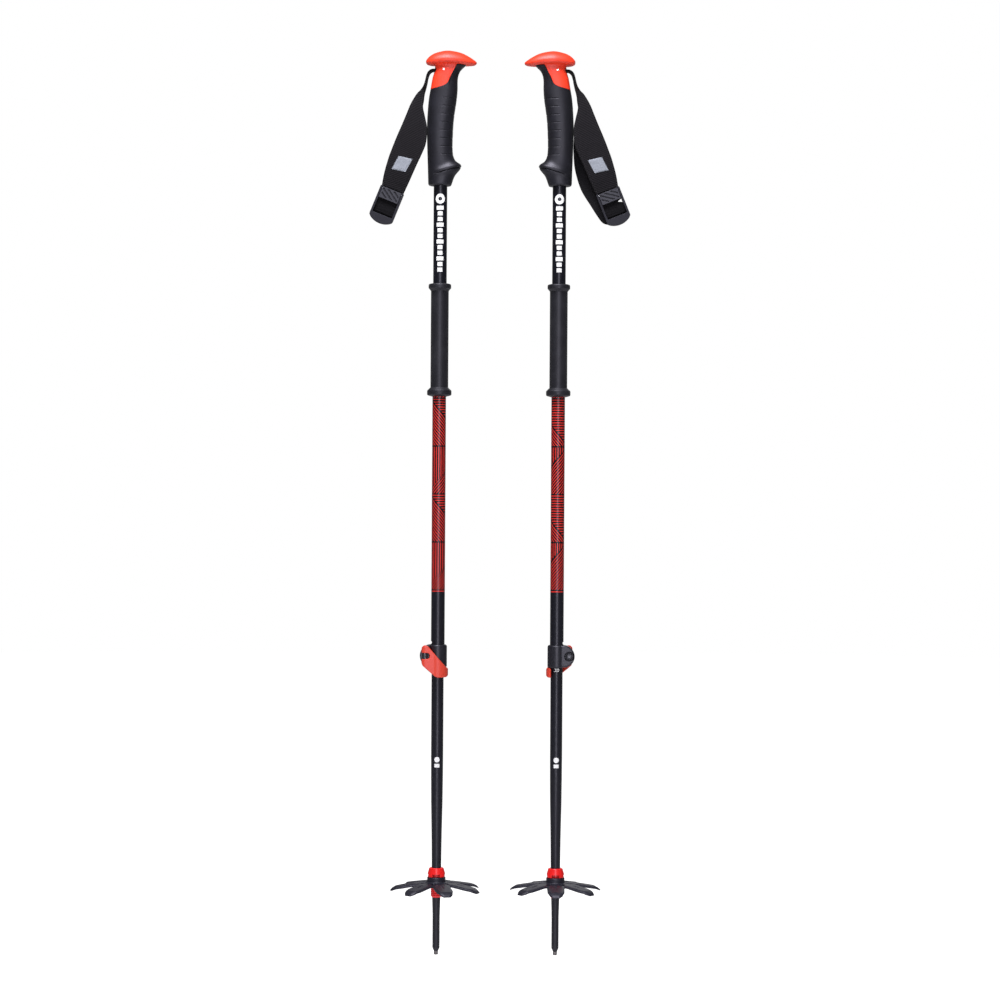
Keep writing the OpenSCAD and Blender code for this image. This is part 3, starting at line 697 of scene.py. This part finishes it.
def grip_levels():
    """Front heights of the rings up to EVEN_TOP: evenly spaced, with more at each groove and the crease."""
    fine = [g + d for g in GROOVES for d in (-1.1, -0.8, -0.55, -0.3, 0, 0.3, 0.55, 0.8, 1.1)]
    fine += [LEDGE_CREASE + 0.35 * i for i in range(-6, 7)]
    even = [
        z for z in np.arange(GRIP_BOTTOM + 0.8, EVEN_TOP, 1.1)
        if all(abs(z - g) > 1.4 for g in GROOVES) and abs(z - LEDGE_CREASE) > 2.5
    ]
    return sorted(fine + even)


def leaning_rings(bottom, top, steps):
    """Rings in even steps from a bottom to a top level, each of them one number or one for each angle."""
    lows, highs = np.broadcast_to(bottom, AROUND), np.broadcast_to(top, AROUND)
    rings = []
    for k in range(steps + 1):
        levels = lows + (highs - lows) * (k / steps)
        rings.append(np.array([grip_point(level, a) for level, a in zip(levels, ANGLES)]))
    return rings


def rim_ring(ring, inward, up):
    """A ring pulled in towards its own middle and moved along Z, for the lips at an edge."""
    out = np.array(ring)
    flat = out[:, :2] - ring.mean(0)[:2]
    out[:, :2] -= flat / np.linalg.norm(flat, axis=1)[:, None] * inward
    out[:, 2] += up
    return out


def grip_body(side):
    """The rubber grip: one skin from its rounded foot to the parting line, with both ends turned in."""
    lower = [np.array([grip_point(z, a) for a in ANGLES]) for z in grip_levels()]
    upper = leaning_rings(EVEN_TOP, PART_LEVELS, 26)
    foot = [rim_ring(lower[0], *step) for step in ((4.6, -0.8), (2.4, -0.8), (1.0, -0.7), (0.3, -0.4))]
    lip = [rim_ring(upper[-1], *step) for step in ((0.35, 0.1), (1.0, -0.2), (3.0, -0.4))]
    points, faces = skin(foot + lower + upper + lip)
    return add_piece(
        f"{side}_grip_skin", points, faces, POLE[side], f"{side}_upper", "grip_rubber",
        [f"{side}_grip_body"],
    )


# Stations of the head's cap: X, share of the full width, top Z, bottom Z
CAP_STATIONS = [
    (-20.2, 0.12, 1186.6, 1184.0), (-18.5, 0.46, 1189.3, 1182.3), (-13.5, 0.70, 1193.8, 1181.2),
    (-6.0, 0.87, 1197.4, 1181.0), (6.0, 1.00, 1200.0, 1181.0), (16.0, 0.98, 1199.5, 1181.0),
    (28.0, 0.85, 1196.6, 1181.0), (38.0, 0.64, 1191.5, 1181.0), (44.5, 0.38, 1187.2, 1181.5),
    (47.3, 0.10, 1185.0, 1183.0),
]
HEAD_HALF = 19.0
# The cap's cross-section, as shares of its half width and of its height, from under its middle to its crown
CAP_SECTION = [
    (0.0, 0.0), (0.4, 0.0), (0.74, 0.02), (0.9, 0.08), (0.98, 0.18), (1.0, 0.3), (0.97, 0.42), (0.9, 0.56),
    (0.79, 0.7), (0.64, 0.82), (0.45, 0.92), (0.23, 0.98), (0.0, 1.0),
]


def head_skin():
    """Points and faces of the head: the cap, and the neck down to the parting line."""
    half_section = between(CAP_SECTION, 3)
    section = np.vstack([half_section, [(-y, z) for y, z in half_section[-2:0:-1]]])
    cap = [
        np.array([(x, HEAD_HALF * share * y, low + (high - low) * z) for y, z in section])
        for x, share, high, low in between(CAP_STATIONS, 5)
    ]
    neck = leaning_rings(PART_LEVELS, NECK_TOP, 20)
    return joined([skin(cap), skin([rim_ring(neck[0], 2.5, 0.2)] + neck)])


# The strap's slot through the head, from one corner to the other, and the holes for the pin's ends
SLOT_LOW = np.array((-30, -6.6, 1171.4))
SLOT_HIGH = np.array((8, 6.6, 1176.6))
PIN_X = 3.5
PIN_Z = 1174.0
PIN_HOLE_R = 1.6
PIN_HOLE_Y = 13.5
PIN_HOLE_DEPTH = 5.0


def slot_tool(side):
    """The shape that is cut from a head: the strap's slot, and a hole at each end of the pin."""
    tool = bpy.data.objects.new("slot_tool", bpy.data.meshes.new("slot_tool"))
    work = bmesh.new()
    bmesh.ops.create_cube(work, size=1)
    for v in work.verts:
        v.co = (SLOT_LOW + SLOT_HIGH) / 2 * MM + np.array(v.co) * (SLOT_HIGH - SLOT_LOW) * MM
    for end in (-1, 1):
        place = Matrix.Translation(Vector((PIN_X, end * PIN_HOLE_Y, PIN_Z)) * MM)
        radius = PIN_HOLE_R * MM
        bmesh.ops.create_cone(
            work, cap_ends=True, segments=32, radius1=radius, radius2=radius, depth=PIN_HOLE_DEPTH * MM,
            matrix=place @ Matrix.Rotation(math.pi / 2, 4, "X"),
        )
    work.to_mesh(tool.data)
    work.free()
    bpy.context.scene.collection.objects.link(tool)
    tool.matrix_world = POLE[side]
    return tool


def grip_head(side):
    """The head, as one moulded skin with a soft fillet between cap and neck, and the strap's slot cut in."""
    points, faces = head_skin()
    obj = add_piece(
        f"{side}_head_skin", points, faces, POLE[side], None, "head_plastic",
        [f"{side}_grip_head"],
    )
    tool = slot_tool(side)
    add_remesh(obj, 0.5)
    add_softening(obj, 8)
    cut = obj.modifiers.new("cut", "BOOLEAN")
    cut.operation = "DIFFERENCE"
    cut.object = tool
    bpy.context.view_layer.update()
    applied(obj)
    bpy.data.objects.remove(tool)
    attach(obj, f"{side}_upper")
    return obj


# ---------- Wrist strap ----------

STRAP_TOP = np.array((-28.0, 1150.0))
STRAP_LEAN = math.radians(17)
BUCKLE_TOP = np.array((-63.3, 1014.7))
BUCKLE_LEAN = math.radians(22)
TONGUE_HALF = 13.42


def on_buckle(u, v):
    """A point of the buckle's face in X and Z: u across it, v down it."""
    c, s = math.cos(BUCKLE_LEAN), math.sin(BUCKLE_LEAN)
    return (BUCKLE_TOP[0] + u * c - v * s, BUCKLE_TOP[1] - u * s - v * c)


def down_strap(x, z):
    """How far down the strap a point lies."""
    return (STRAP_TOP[0] - x) * math.sin(STRAP_LEAN) + (STRAP_TOP[1] - z) * math.cos(STRAP_LEAN)


# How far down the strap, and the Y of a band's middle there
FRONT_Y = [
    (-10, -7.5), (12, -7.5), (30, -9.4), (45, -10.4), (70, -10.8), (95, -10.4), (115, -9.2), (128, -7.4),
    (136, -6.0), (175, -6.0),
]
REAR_Y = [
    (-10, 7.0), (12, 7.0), (30, 9.0), (45, 10.0), (75, 10.4), (100, 10.0), (125, 6.6), (150, 2.0),
    (168, -1.2), (200, -1.4),
]


def y_at(profile, x, z):
    """A band's Y at a point of the strap, from its profile."""
    return float(np.interp(down_strap(x, z), *np.array(profile).T))


def band_section(half, radius, across, crown, rim, groove):
    """A band's cross-section, from edge to edge and back, as (across, out of the band)."""
    flat = np.linspace(-1, 1, across) * (half - radius)
    dip = 0 * flat
    if rim:
        marks = [half - rim + step for step in (-0.9, -0.35, 0.0, 0.35, 0.9)]
        inner = np.linspace(-1, 1, across) * (half - rim - 1.6)
        flat = np.concatenate([[radius - half], [-m for m in reversed(marks)], inner, marks, [half - radius]])
        dip = groove * (1 - smoothstep(np.abs(np.abs(flat) - (half - rim)), 0.2, 0.8))
    lift = crown * (1 - (flat / half) ** 2)
    bend = [math.radians(a) for a in (67.5, 45, 22.5, 0, -22.5, -45, -67.5)]
    top = np.stack([flat, radius + lift - dip], 1)
    right = [(half - radius + radius * math.cos(a), radius * math.sin(a)) for a in bend]
    bottom = np.stack([flat[::-1], -radius - 0.3 * lift[::-1] + dip[::-1]], 1)
    left = [(-(half - radius) - radius * math.cos(a), radius * math.sin(a)) for a in reversed(bend)]
    return np.vstack([top, right, bottom, left])


def band(rows, thick, across=14, crown=0.0, rim=0.0, groove=0.0):
    """A strip of cloth through rows of (one edge, other edge), both points, with round edges, closed ends.

    crown lifts its front face in the middle, rim is how far from its edge a sewn groove runs and groove is
    how deep it is. Returns points, faces and the map of each point in millimetres across and along."""
    rows = np.asarray(rows, float).reshape(-1, 2, 3)
    middles = rows.mean(1)
    along = travelled(middles)
    rings, weave = [], []
    for (one, other), tangent, far in zip(rows, np.gradient(middles, axis=0), along):
        span = other - one
        half = np.linalg.norm(span) / 2
        side_way = span / (2 * half)
        out = np.cross(tangent, side_way)
        out /= np.linalg.norm(out)
        section = band_section(half, thick / 2, across, crown, rim, groove)
        rings.append((one + other) / 2 + section[:, :1] * side_way + section[:, 1:] * out)
        weave += [(a, far) for a in section[:, 0]]
    weave += [(0, 0), (0, along[-1])]
    return *skin(rings), weave


def edged(left_edge, right_edge, profile, steps):
    """Rows for a band from its two edges in X and Z, with Y from a profile down the strap."""
    rows = between(np.hstack([left_edge, right_edge]), steps)
    return [((a, y_at(profile, a, b), b), (c, y_at(profile, c, d), d)) for a, b, c, d in rows]


PAD_EDGES = (
    [(-25.2, 1148.2), (-31.9, 1142.0), (-39.6, 1129.0), (-45.0, 1115.8), (-50.2, 1103.0), (-59.4, 1081.5),
     (-65.0, 1067.0), (-68.7, 1057.0), (-74.5, 1037.0), on_buckle(-15.6, -0.1)],
    [(-21.6, 1145.5), (-22.4, 1138.0), (-23.5, 1124.0), (-20.6, 1110.0), (-18.1, 1096.0), (-19.3, 1076.0),
     (-25.4, 1060.0), (-30.6, 1049.0), (-40.0, 1027.8), on_buckle(15.6, -0.1)],
)
REAR_HALF = 14.2
REAR_OUTER_EDGE = [
    (-24.5, 1147.5), (-34, 1138), (-40, 1124), (-45, 1110), (-50.5, 1090), (-56, 1070), (-62, 1050),
    (-68, 1033), on_buckle(-REAR_HALF, 8), on_buckle(-REAR_HALF, 27), on_buckle(-REAR_HALF, 39),
]
REAR_INNER_EDGE = {
    "left": [
        (-22.0, 1143), (-22.8, 1135), (-24.3, 1123), (-21.2, 1104), (-20.2, 1088), (-23.4, 1070), (-32, 1050),
        (-41.6, 1028.5), on_buckle(REAR_HALF, 2), on_buckle(REAR_HALF, 22), on_buckle(REAR_HALF, 39),
    ],
    "right": [
        (-22.0, 1143), (-22.8, 1135), (-24.0, 1123), (-20.4, 1104), (-18.8, 1086), (-18.6, 1066),
        (-20.8, 1044), (-28.5, 1018), (-41.0, 996.5), (-56.0, 974.0), on_buckle(REAR_HALF, 42.5),
    ],
}
# Both edges of each neck layer, from inside the slot down to its band
NECK_LAYERS = [
    [
        ((3, -5.8, 1174.9), (3, 5.8, 1174.9)), ((-9, -5.8, 1174.9), (-9, 5.8, 1174.9)),
        ((-13.6, -5.8, 1174.0), (-13.6, 5.8, 1174.0)), ((-17.3, -5.9, 1170.6), (-17.2, 5.8, 1170.6)),
        ((-19.4, -6.2, 1165), (-18.9, 5.4, 1165)), ((-20.9, -6.6, 1158.5), (-19.6, 4.2, 1158)),
        ((-23.4, -7.1, 1152), (-20.6, 1.0, 1151)), ((-27.6, -7.4, 1146.3), (-21.9, -4.0, 1144)),
        ((-32.4, -7.6, 1140.5), (-22.9, -7.2, 1137)), ((-37.0, -8.0, 1132.8), (-23.9, -7.8, 1129)),
    ],
    [
        ((3, 5.8, 1173.2), (3, -5.8, 1173.2)), ((-9, 5.8, 1173.2), (-9, -5.8, 1173.2)),
        ((-12.6, 5.8, 1172.3), (-12.6, -5.8, 1172.3)), ((-15.6, 5.9, 1169.5), (-15.5, -5.8, 1169.5)),
        ((-17.5, 6.2, 1164.4), (-17.1, -5.4, 1164.4)), ((-19.6, 6.6, 1157.5), (-18.3, -4.0, 1157)),
        ((-22.8, 7.0, 1151), (-19.9, -0.7, 1150)), ((-27.2, 7.2, 1146), (-21.6, 4.0, 1143.5)),
        ((-32.6, 7.2, 1139.8), (-22.9, 6.9, 1136.4)), ((-36.6, 7.6, 1131.5), (-24.4, 7.5, 1128.6)),
    ],
]


def strap_neck(side):
    """Two layers of webbing that leave the head's slot together, bend down and turn away from each other."""
    front, rear = (band(between(np.array(rows).reshape(-1, 6), 5), 1.5, across=12) for rows in NECK_LAYERS)
    points, faces = joined([front[:2], rear[:2]])
    obj = add_piece(
        f"{side}_strap_neck_webbing", points, faces, STRAP[side], None, "webbing",
        [f"{side}_strap_neck", f"{side}_strap_anchor"], weave=front[2] + rear[2],
    )
    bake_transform(obj)
    return obj


PAD_THICK = 3.0
SEAM_IN = 2.6


def strap_pad(side):
    """The padded front band, crowned, with a sewn groove inside each edge."""
    rows = edged(*PAD_EDGES, FRONT_Y, 7)
    points, faces, weave = band(rows, PAD_THICK, across=15, crown=0.5, rim=SEAM_IN, groove=0.5)
    obj = add_piece(
        f"{side}_strap_padding", points, faces, STRAP[side], f"{side}_strap", "strap_padding",
        [f"{side}_strap_pad"], weave=weave,
    )
    return obj


def strap_rear(side):
    """The plain rear band, which runs down behind the buckle."""
    rows = edged(REAR_OUTER_EDGE, REAR_INNER_EDGE[side], REAR_Y, 20)
    points, faces, weave = band(rows, 2.0, across=14)
    if side == "right":
        points = notched(points)
    return add_piece(
        f"{side}_strap_rear_webbing", points, faces, STRAP[side], f"{side}_strap", "webbing",
        [f"{side}_strap_back_web"], weave=weave,
    )


def strap_tongue(side):
    """The webbing in the buckle's window: out from under the tab, down, and round the lower bar."""
    bar_v, bar_y, turn_r = 32.6, -4.0, 2.3
    # How far down the buckle, and the Y there
    path = [(-1.5, -5.9), (2.0, -5.9), (10.0, -6.0), (16.4, -6.2), (19.0, -6.6), (24.0, -6.6), (29.5, -6.5)]
    path += [
        (bar_v + turn_r * math.sin(math.radians(a)), bar_y - turn_r * math.cos(math.radians(a)))
        for a in (-20, 20, 60, 100, 140, 180)
    ]
    path.append((27.0, -1.7))
    rows = []
    for v, y in path:
        (xa, za), (xb, zb) = on_buckle(-TONGUE_HALF, v), on_buckle(TONGUE_HALF, v)
        rows.append((xa, y, za, xb, y, zb))
    points, faces, weave = band(between(rows, 4), 1.3, across=16)
    if side == "right":
        points = notched(points)
    return add_piece(
        f"{side}_strap_tongue", points, faces, STRAP[side], f"{side}_strap", "webbing", weave=weave
    )


# The gap beside the right buckle's webbing: how far down it is, its half height and its width at the edge
GAP_V = 18.2
GAP_HALF = 1.9
GAP_WIDTH = 5.2
# Where across the webbing the drawing in begins
GAP_FROM = -6.0


def notched(points):
    """Draws the webbing in beside the right buckle's outer rail, where a small gap shows under its tab."""
    c, s = math.cos(BUCKLE_LEAN), math.sin(BUCKLE_LEAN)
    flat = points[:, [0, 2]] - BUCKLE_TOP
    u, v = flat[:, 0] * c - flat[:, 1] * s, -flat[:, 0] * s - flat[:, 1] * c
    beside = np.where(u < GAP_FROM, (GAP_FROM - u) / (TONGUE_HALF + GAP_FROM), 0)
    pull = beside * GAP_WIDTH * np.exp(-(((v - GAP_V) / GAP_HALF) ** 4))
    points = np.array(points)
    points[:, 0] += pull * c
    points[:, 2] -= pull * s
    return points


STITCH = 2.1
STITCH_PITCH = 3.0
# How far along a stitch, and its radius there
STITCH_SHAPE = [(0, 0.05), (0.2, 0.24), (0.8, 0.3), (1.3, 0.3), (1.9, 0.24), (STITCH, 0.05)]


def point_along(line, along, far):
    """The point of a line that lies a distance along it."""
    return np.array([np.interp(far, along, line[:, k]) for k in range(3)])


def seam_line(edge):
    """Where a seam runs in the groove inside one of the pad's two edges, just under the pad's face."""
    line = []
    for row in np.array(edged(*PAD_EDGES, FRONT_Y, 7)):
        span = row[1 - edge] - row[edge]
        line.append(row[edge] + span / np.linalg.norm(span) * SEAM_IN)
    line = np.array(line)
    line[:, 1] -= PAD_THICK / 2 - 0.3
    return line


def stitch(start, end):
    """One stitch: a short six-sided thread with thin ends."""
    way = (end - start) / np.linalg.norm(end - start)
    out = np.array((0, -1, 0))
    aside = np.cross(out, way)
    corners = [math.radians(a) for a in range(0, 360, 60)]
    return skin([
        [start + way * far + aside * radius * math.cos(a) + out * radius * math.sin(a) for a in corners]
        for far, radius in STITCH_SHAPE
    ])


def stitches(side):
    """A row of stitches in the sewn groove along each edge of the pad, clear of its two ends."""
    made = []
    for edge in (0, 1):
        line = seam_line(edge)
        along = travelled(line)
        starts = np.arange(7, along[-1] - 3, STITCH_PITCH)
        made += [
            stitch(point_along(line, along, far), point_along(line, along, far + STITCH)) for far in starts
        ]
    points, faces = joined(made)
    return add_piece(
        f"{side}_strap_stitches", points, faces, STRAP[side], f"{side}_strap", "thread",
        weave=points[:, [0, 2]],
    )


def badge(side):
    """A plain pale patch sewn on the pad, from its top edge to its bottom edge."""
    top, bottom = np.array([[(-55.6, 1058.6), (-36.8, 1054.2)], [(-64.6, 1041.4), (-46.4, 1037.2)]])
    rows = []
    for t in np.linspace(0, 1, 12):
        one, other = top + (bottom - top) * t
        y = y_at(FRONT_Y, *(one + other) / 2) - PAD_THICK / 2 - 0.58
        rows.append((one[0], y, one[1], other[0], y, other[1]))
    points, faces, weave = band(rows, 0.7, across=12, rim=1.2, groove=0.12)
    return add_piece(
        f"{side}_strap_patch", points, faces, STRAP[side], f"{side}_strap", "badge",
        weave=weave,
    )


# ---------- Basket ----------

ARMS = 7
# How far out along an arm, and its half width there
ARM_HALF = np.array([(9, 6.8), (24, 11.6), (46.1, 11.2), (56.5, 8.4), (61.1, 4.6), (62, 4.0)])
ARM_END = 61.1
# How far out, and the height of the middle of the dish's thickness there
DISH_MIDDLE = np.array([(10.5, 94.5), (30, 93.5), (54, 89.2), (62.5, 85.0)])


def moved(points, matrix):
    """Many points, turned and moved by a matrix."""
    return points @ np.array(matrix.to_3x3()).T + np.array(matrix.translation)


def arm_relief(side):
    """A function that gives a basket's arms sloping edges and a short slit, for the points of its skin."""
    step = 360 / ARMS
    first = 15 if side == "left" else step / 2

    def shape(points):
        local = moved(points, POLE[side].inverted()) / MM
        angle = np.degrees(np.arctan2(local[:, 1], local[:, 0])) + 90 - first
        off = np.radians((angle + step / 2) % step - step / 2)
        radius = np.hypot(local[:, 0], local[:, 1])
        out, aside = radius * np.cos(off), np.abs(radius * np.sin(off))
        half = np.interp(out, *ARM_HALF.T)
        inside = np.minimum(half - aside, ARM_END - out)
        above = smoothstep(local[:, 2] - np.interp(radius, *DISH_MIDDLE.T), -0.2, 0.9)
        slope = 0.9 * (1 - smoothstep(inside, 0.0, 3.0)) * smoothstep(out, 13.5, 18)
        slit_length = smoothstep(out, 30, 31) * (1 - smoothstep(out, 39, 40))
        slit = 1.3 * (1 - smoothstep(aside, 0.4, 1.0)) * slit_length
        local[:, 2] -= above * (slope + slit)
        return moved(local * MM, POLE[side])

    return shape


# ---------- Printed scale ----------


def scale_digits(side):
    """The scale's digits, printed round the +Y face of the lower shaft just under the clamp."""
    text = bpy.data.curves.new("digits", "FONT")
    text.body = "20"
    text.size = 6.6
    text.align_x = "CENTER"
    text.align_y = "CENTER"
    text.extrude = 0.06
    text.offset = 0.1
    flat = bpy.data.objects.new("digits", text)
    bpy.context.scene.collection.objects.link(flat)
    bpy.context.view_layer.update()
    work = bmesh.new()
    work.from_mesh(bpy.data.meshes.new_from_object(flat))
    bpy.data.objects.remove(flat)
    bmesh.ops.remove_doubles(work, verts=work.verts, dist=0.001)
    bmesh.ops.triangulate(work, faces=work.faces)
    points = []
    for v in work.verts:
        angle = v.co.x / LOWER_R
        radius = LOWER_R + text.extrude + v.co.z
        points.append((-radius * math.sin(angle), radius * math.cos(angle), DIGITS_Z + v.co.y))
    work.verts.index_update()
    faces = [tuple(v.index for v in f.verts) for f in work.faces]
    work.free()
    return add_piece(
        f"{side}_scale_digits", points, faces, POLE[side], f"{side}_lower", "print_white"
    )


# ---------- All pieces ----------

# Pieces that get a moulded skin: the cell's size, rounds of softening, material and slot
MOULDED = [
    ("clamp_collar", 0.4, 6, "clamp_plastic", "clamp_plastic"),
    ("clamp_lever", 0.36, 20, "lever_alloy", "lever_alloy"),
    ("tip_ferrule", 0.33, 2, "ferrule_plastic", "ferrule_plastic"),
    ("buckle_frame", 0.3, 4, "buckle_plastic", "buckle_plastic"),
    ("buckle_cam", 0.25, 2, "cam_plastic", "buckle_plastic"),
]
# Pieces that stay as the CAD made them, and their materials
KEPT = {
    "grip_extension": "extension_rubber",
    "grip_core": "core_plastic",
    "strap_pin": "bright_steel",
    "draw_bolt": "eye_steel",
    "tension_nut": "nut_steel",
    "lever_axle": "bright_steel",
    "tube_plug": "plug_plastic",
    "tip_shank": "shank_plastic",
    "carbide_tip": "carbide",
    "buckle_axle": "bright_steel",
}

for side in SIDES:
    for piece, name in KEPT.items():
        paint(frame["nodes"][f"{side}_{piece}"], name)
    paint(frame["nodes"][f"{side}_upper_tube"], f"upper_shaft_{side}")
    paint(frame["nodes"][f"{side}_lower_tube"], f"lower_shaft_{side}")
    for piece, voxel, rounds, material, slot_name in MOULDED:
        tilt = BUCKLE_LEAN * (1 if side == "left" else -1) * piece.startswith("buckle")
        moulded(f"{side}_{piece}", voxel, rounds, material, lean=tilt)
    moulded(f"{side}_basket", 0.45, 6, "basket_plastic", shape=arm_relief(side))
    grip_body(side)
    grip_head(side)
    strap_neck(side)
    strap_pad(side)
    strap_rear(side)
    strap_tongue(side)
    stitches(side)
    badge(side)
    scale_digits(side)


# ---------- Floor, light and camera ----------

# In metres
FLOOR_Z = -0.32
FLOOR_R = 12.0


def add_floor():
    """A plain pale disc, so low that the poles clear it with their lower sections drawn right out.

    It glows towards the camera, so that it looks as white as the backdrop."""
    p = Paint("floor")
    shade = p.noise(p.place(), 400.0)
    colour = p.blend(shade, (0.86, 0.86, 0.86, 1), (0.9, 0.9, 0.9, 1))
    seen = p.node("ShaderNodeLightPath").outputs["Is Camera Ray"]
    material = p.finish(
        Base_Color=colour, Roughness=0.9, Emission_Color=(1, 1, 1, 1),
        Emission_Strength=p.mix(seen, 0.05, 0.9),
    )
    work = bmesh.new()
    bmesh.ops.create_circle(work, cap_ends=True, segments=96, radius=FLOOR_R)
    mesh = bpy.data.meshes.new("floor")
    work.to_mesh(mesh)
    work.free()
    floor = bpy.data.objects.new("floor", mesh)
    floor.location = (0, 0, FLOOR_Z)
    bpy.context.scene.collection.objects.link(floor)
    floor.data.materials.append(material)


def add_light(name, place, target, size, power):
    """A soft light of a width and a height that points at a target."""
    light = bpy.data.lights.new(name, "AREA")
    light.shape = "RECTANGLE"
    light.size, light.size_y = size
    light.energy = power
    obj = bpy.data.objects.new(name, light)
    obj.location = place
    obj.rotation_euler = (Vector(target) - Vector(place)).to_track_quat("-Z", "Y").to_euler()
    bpy.context.scene.collection.objects.link(obj)


def add_world():
    """An even backdrop that is white to look at and gives a weaker, even light."""
    world = bpy.data.worlds.new("backdrop")
    world.use_nodes = True
    bpy.context.scene.world = world
    tree = world.node_tree
    background = tree.nodes["Background"]
    background.inputs["Color"].default_value = (1, 1, 1, 1)
    seen = tree.nodes.new("ShaderNodeLightPath")
    strength = tree.nodes.new("ShaderNodeMapRange")
    strength.inputs["To Min"].default_value = 0.13
    strength.inputs["To Max"].default_value = 1.0
    tree.links.new(seen.outputs["Is Camera Ray"], strength.inputs["Value"])
    tree.links.new(strength.outputs[0], background.inputs["Strength"])


def add_camera():
    """Level with the middle of the poles, straight at the pair and turned a little about its own axis."""
    camera = bpy.data.objects.new("camera", bpy.data.cameras.new("camera"))
    camera.location = (0.0025, -3.35, 0.604)
    camera.rotation_euler = (math.radians(90), math.radians(-0.345), 0)
    camera.data.lens = 90.8
    camera.data.sensor_width = 36
    bpy.context.scene.collection.objects.link(camera)
    bpy.context.scene.camera = camera


add_floor()
add_world()
add_light("front", (0.1, -3.6, 0.9), (0, 0, 0.65), (0.6, 2.2), 43)
add_light("top", (-0.3, -1.1, 3.0), (0, 0, 0.7), (1.4, 0.9), 100)
add_light("back", (0.6, 3.4, 1.8), (0, 0, 0.7), (2.0, 2.0), 12)
add_camera()
bpy.context.scene.view_settings.view_transform = "Standard"
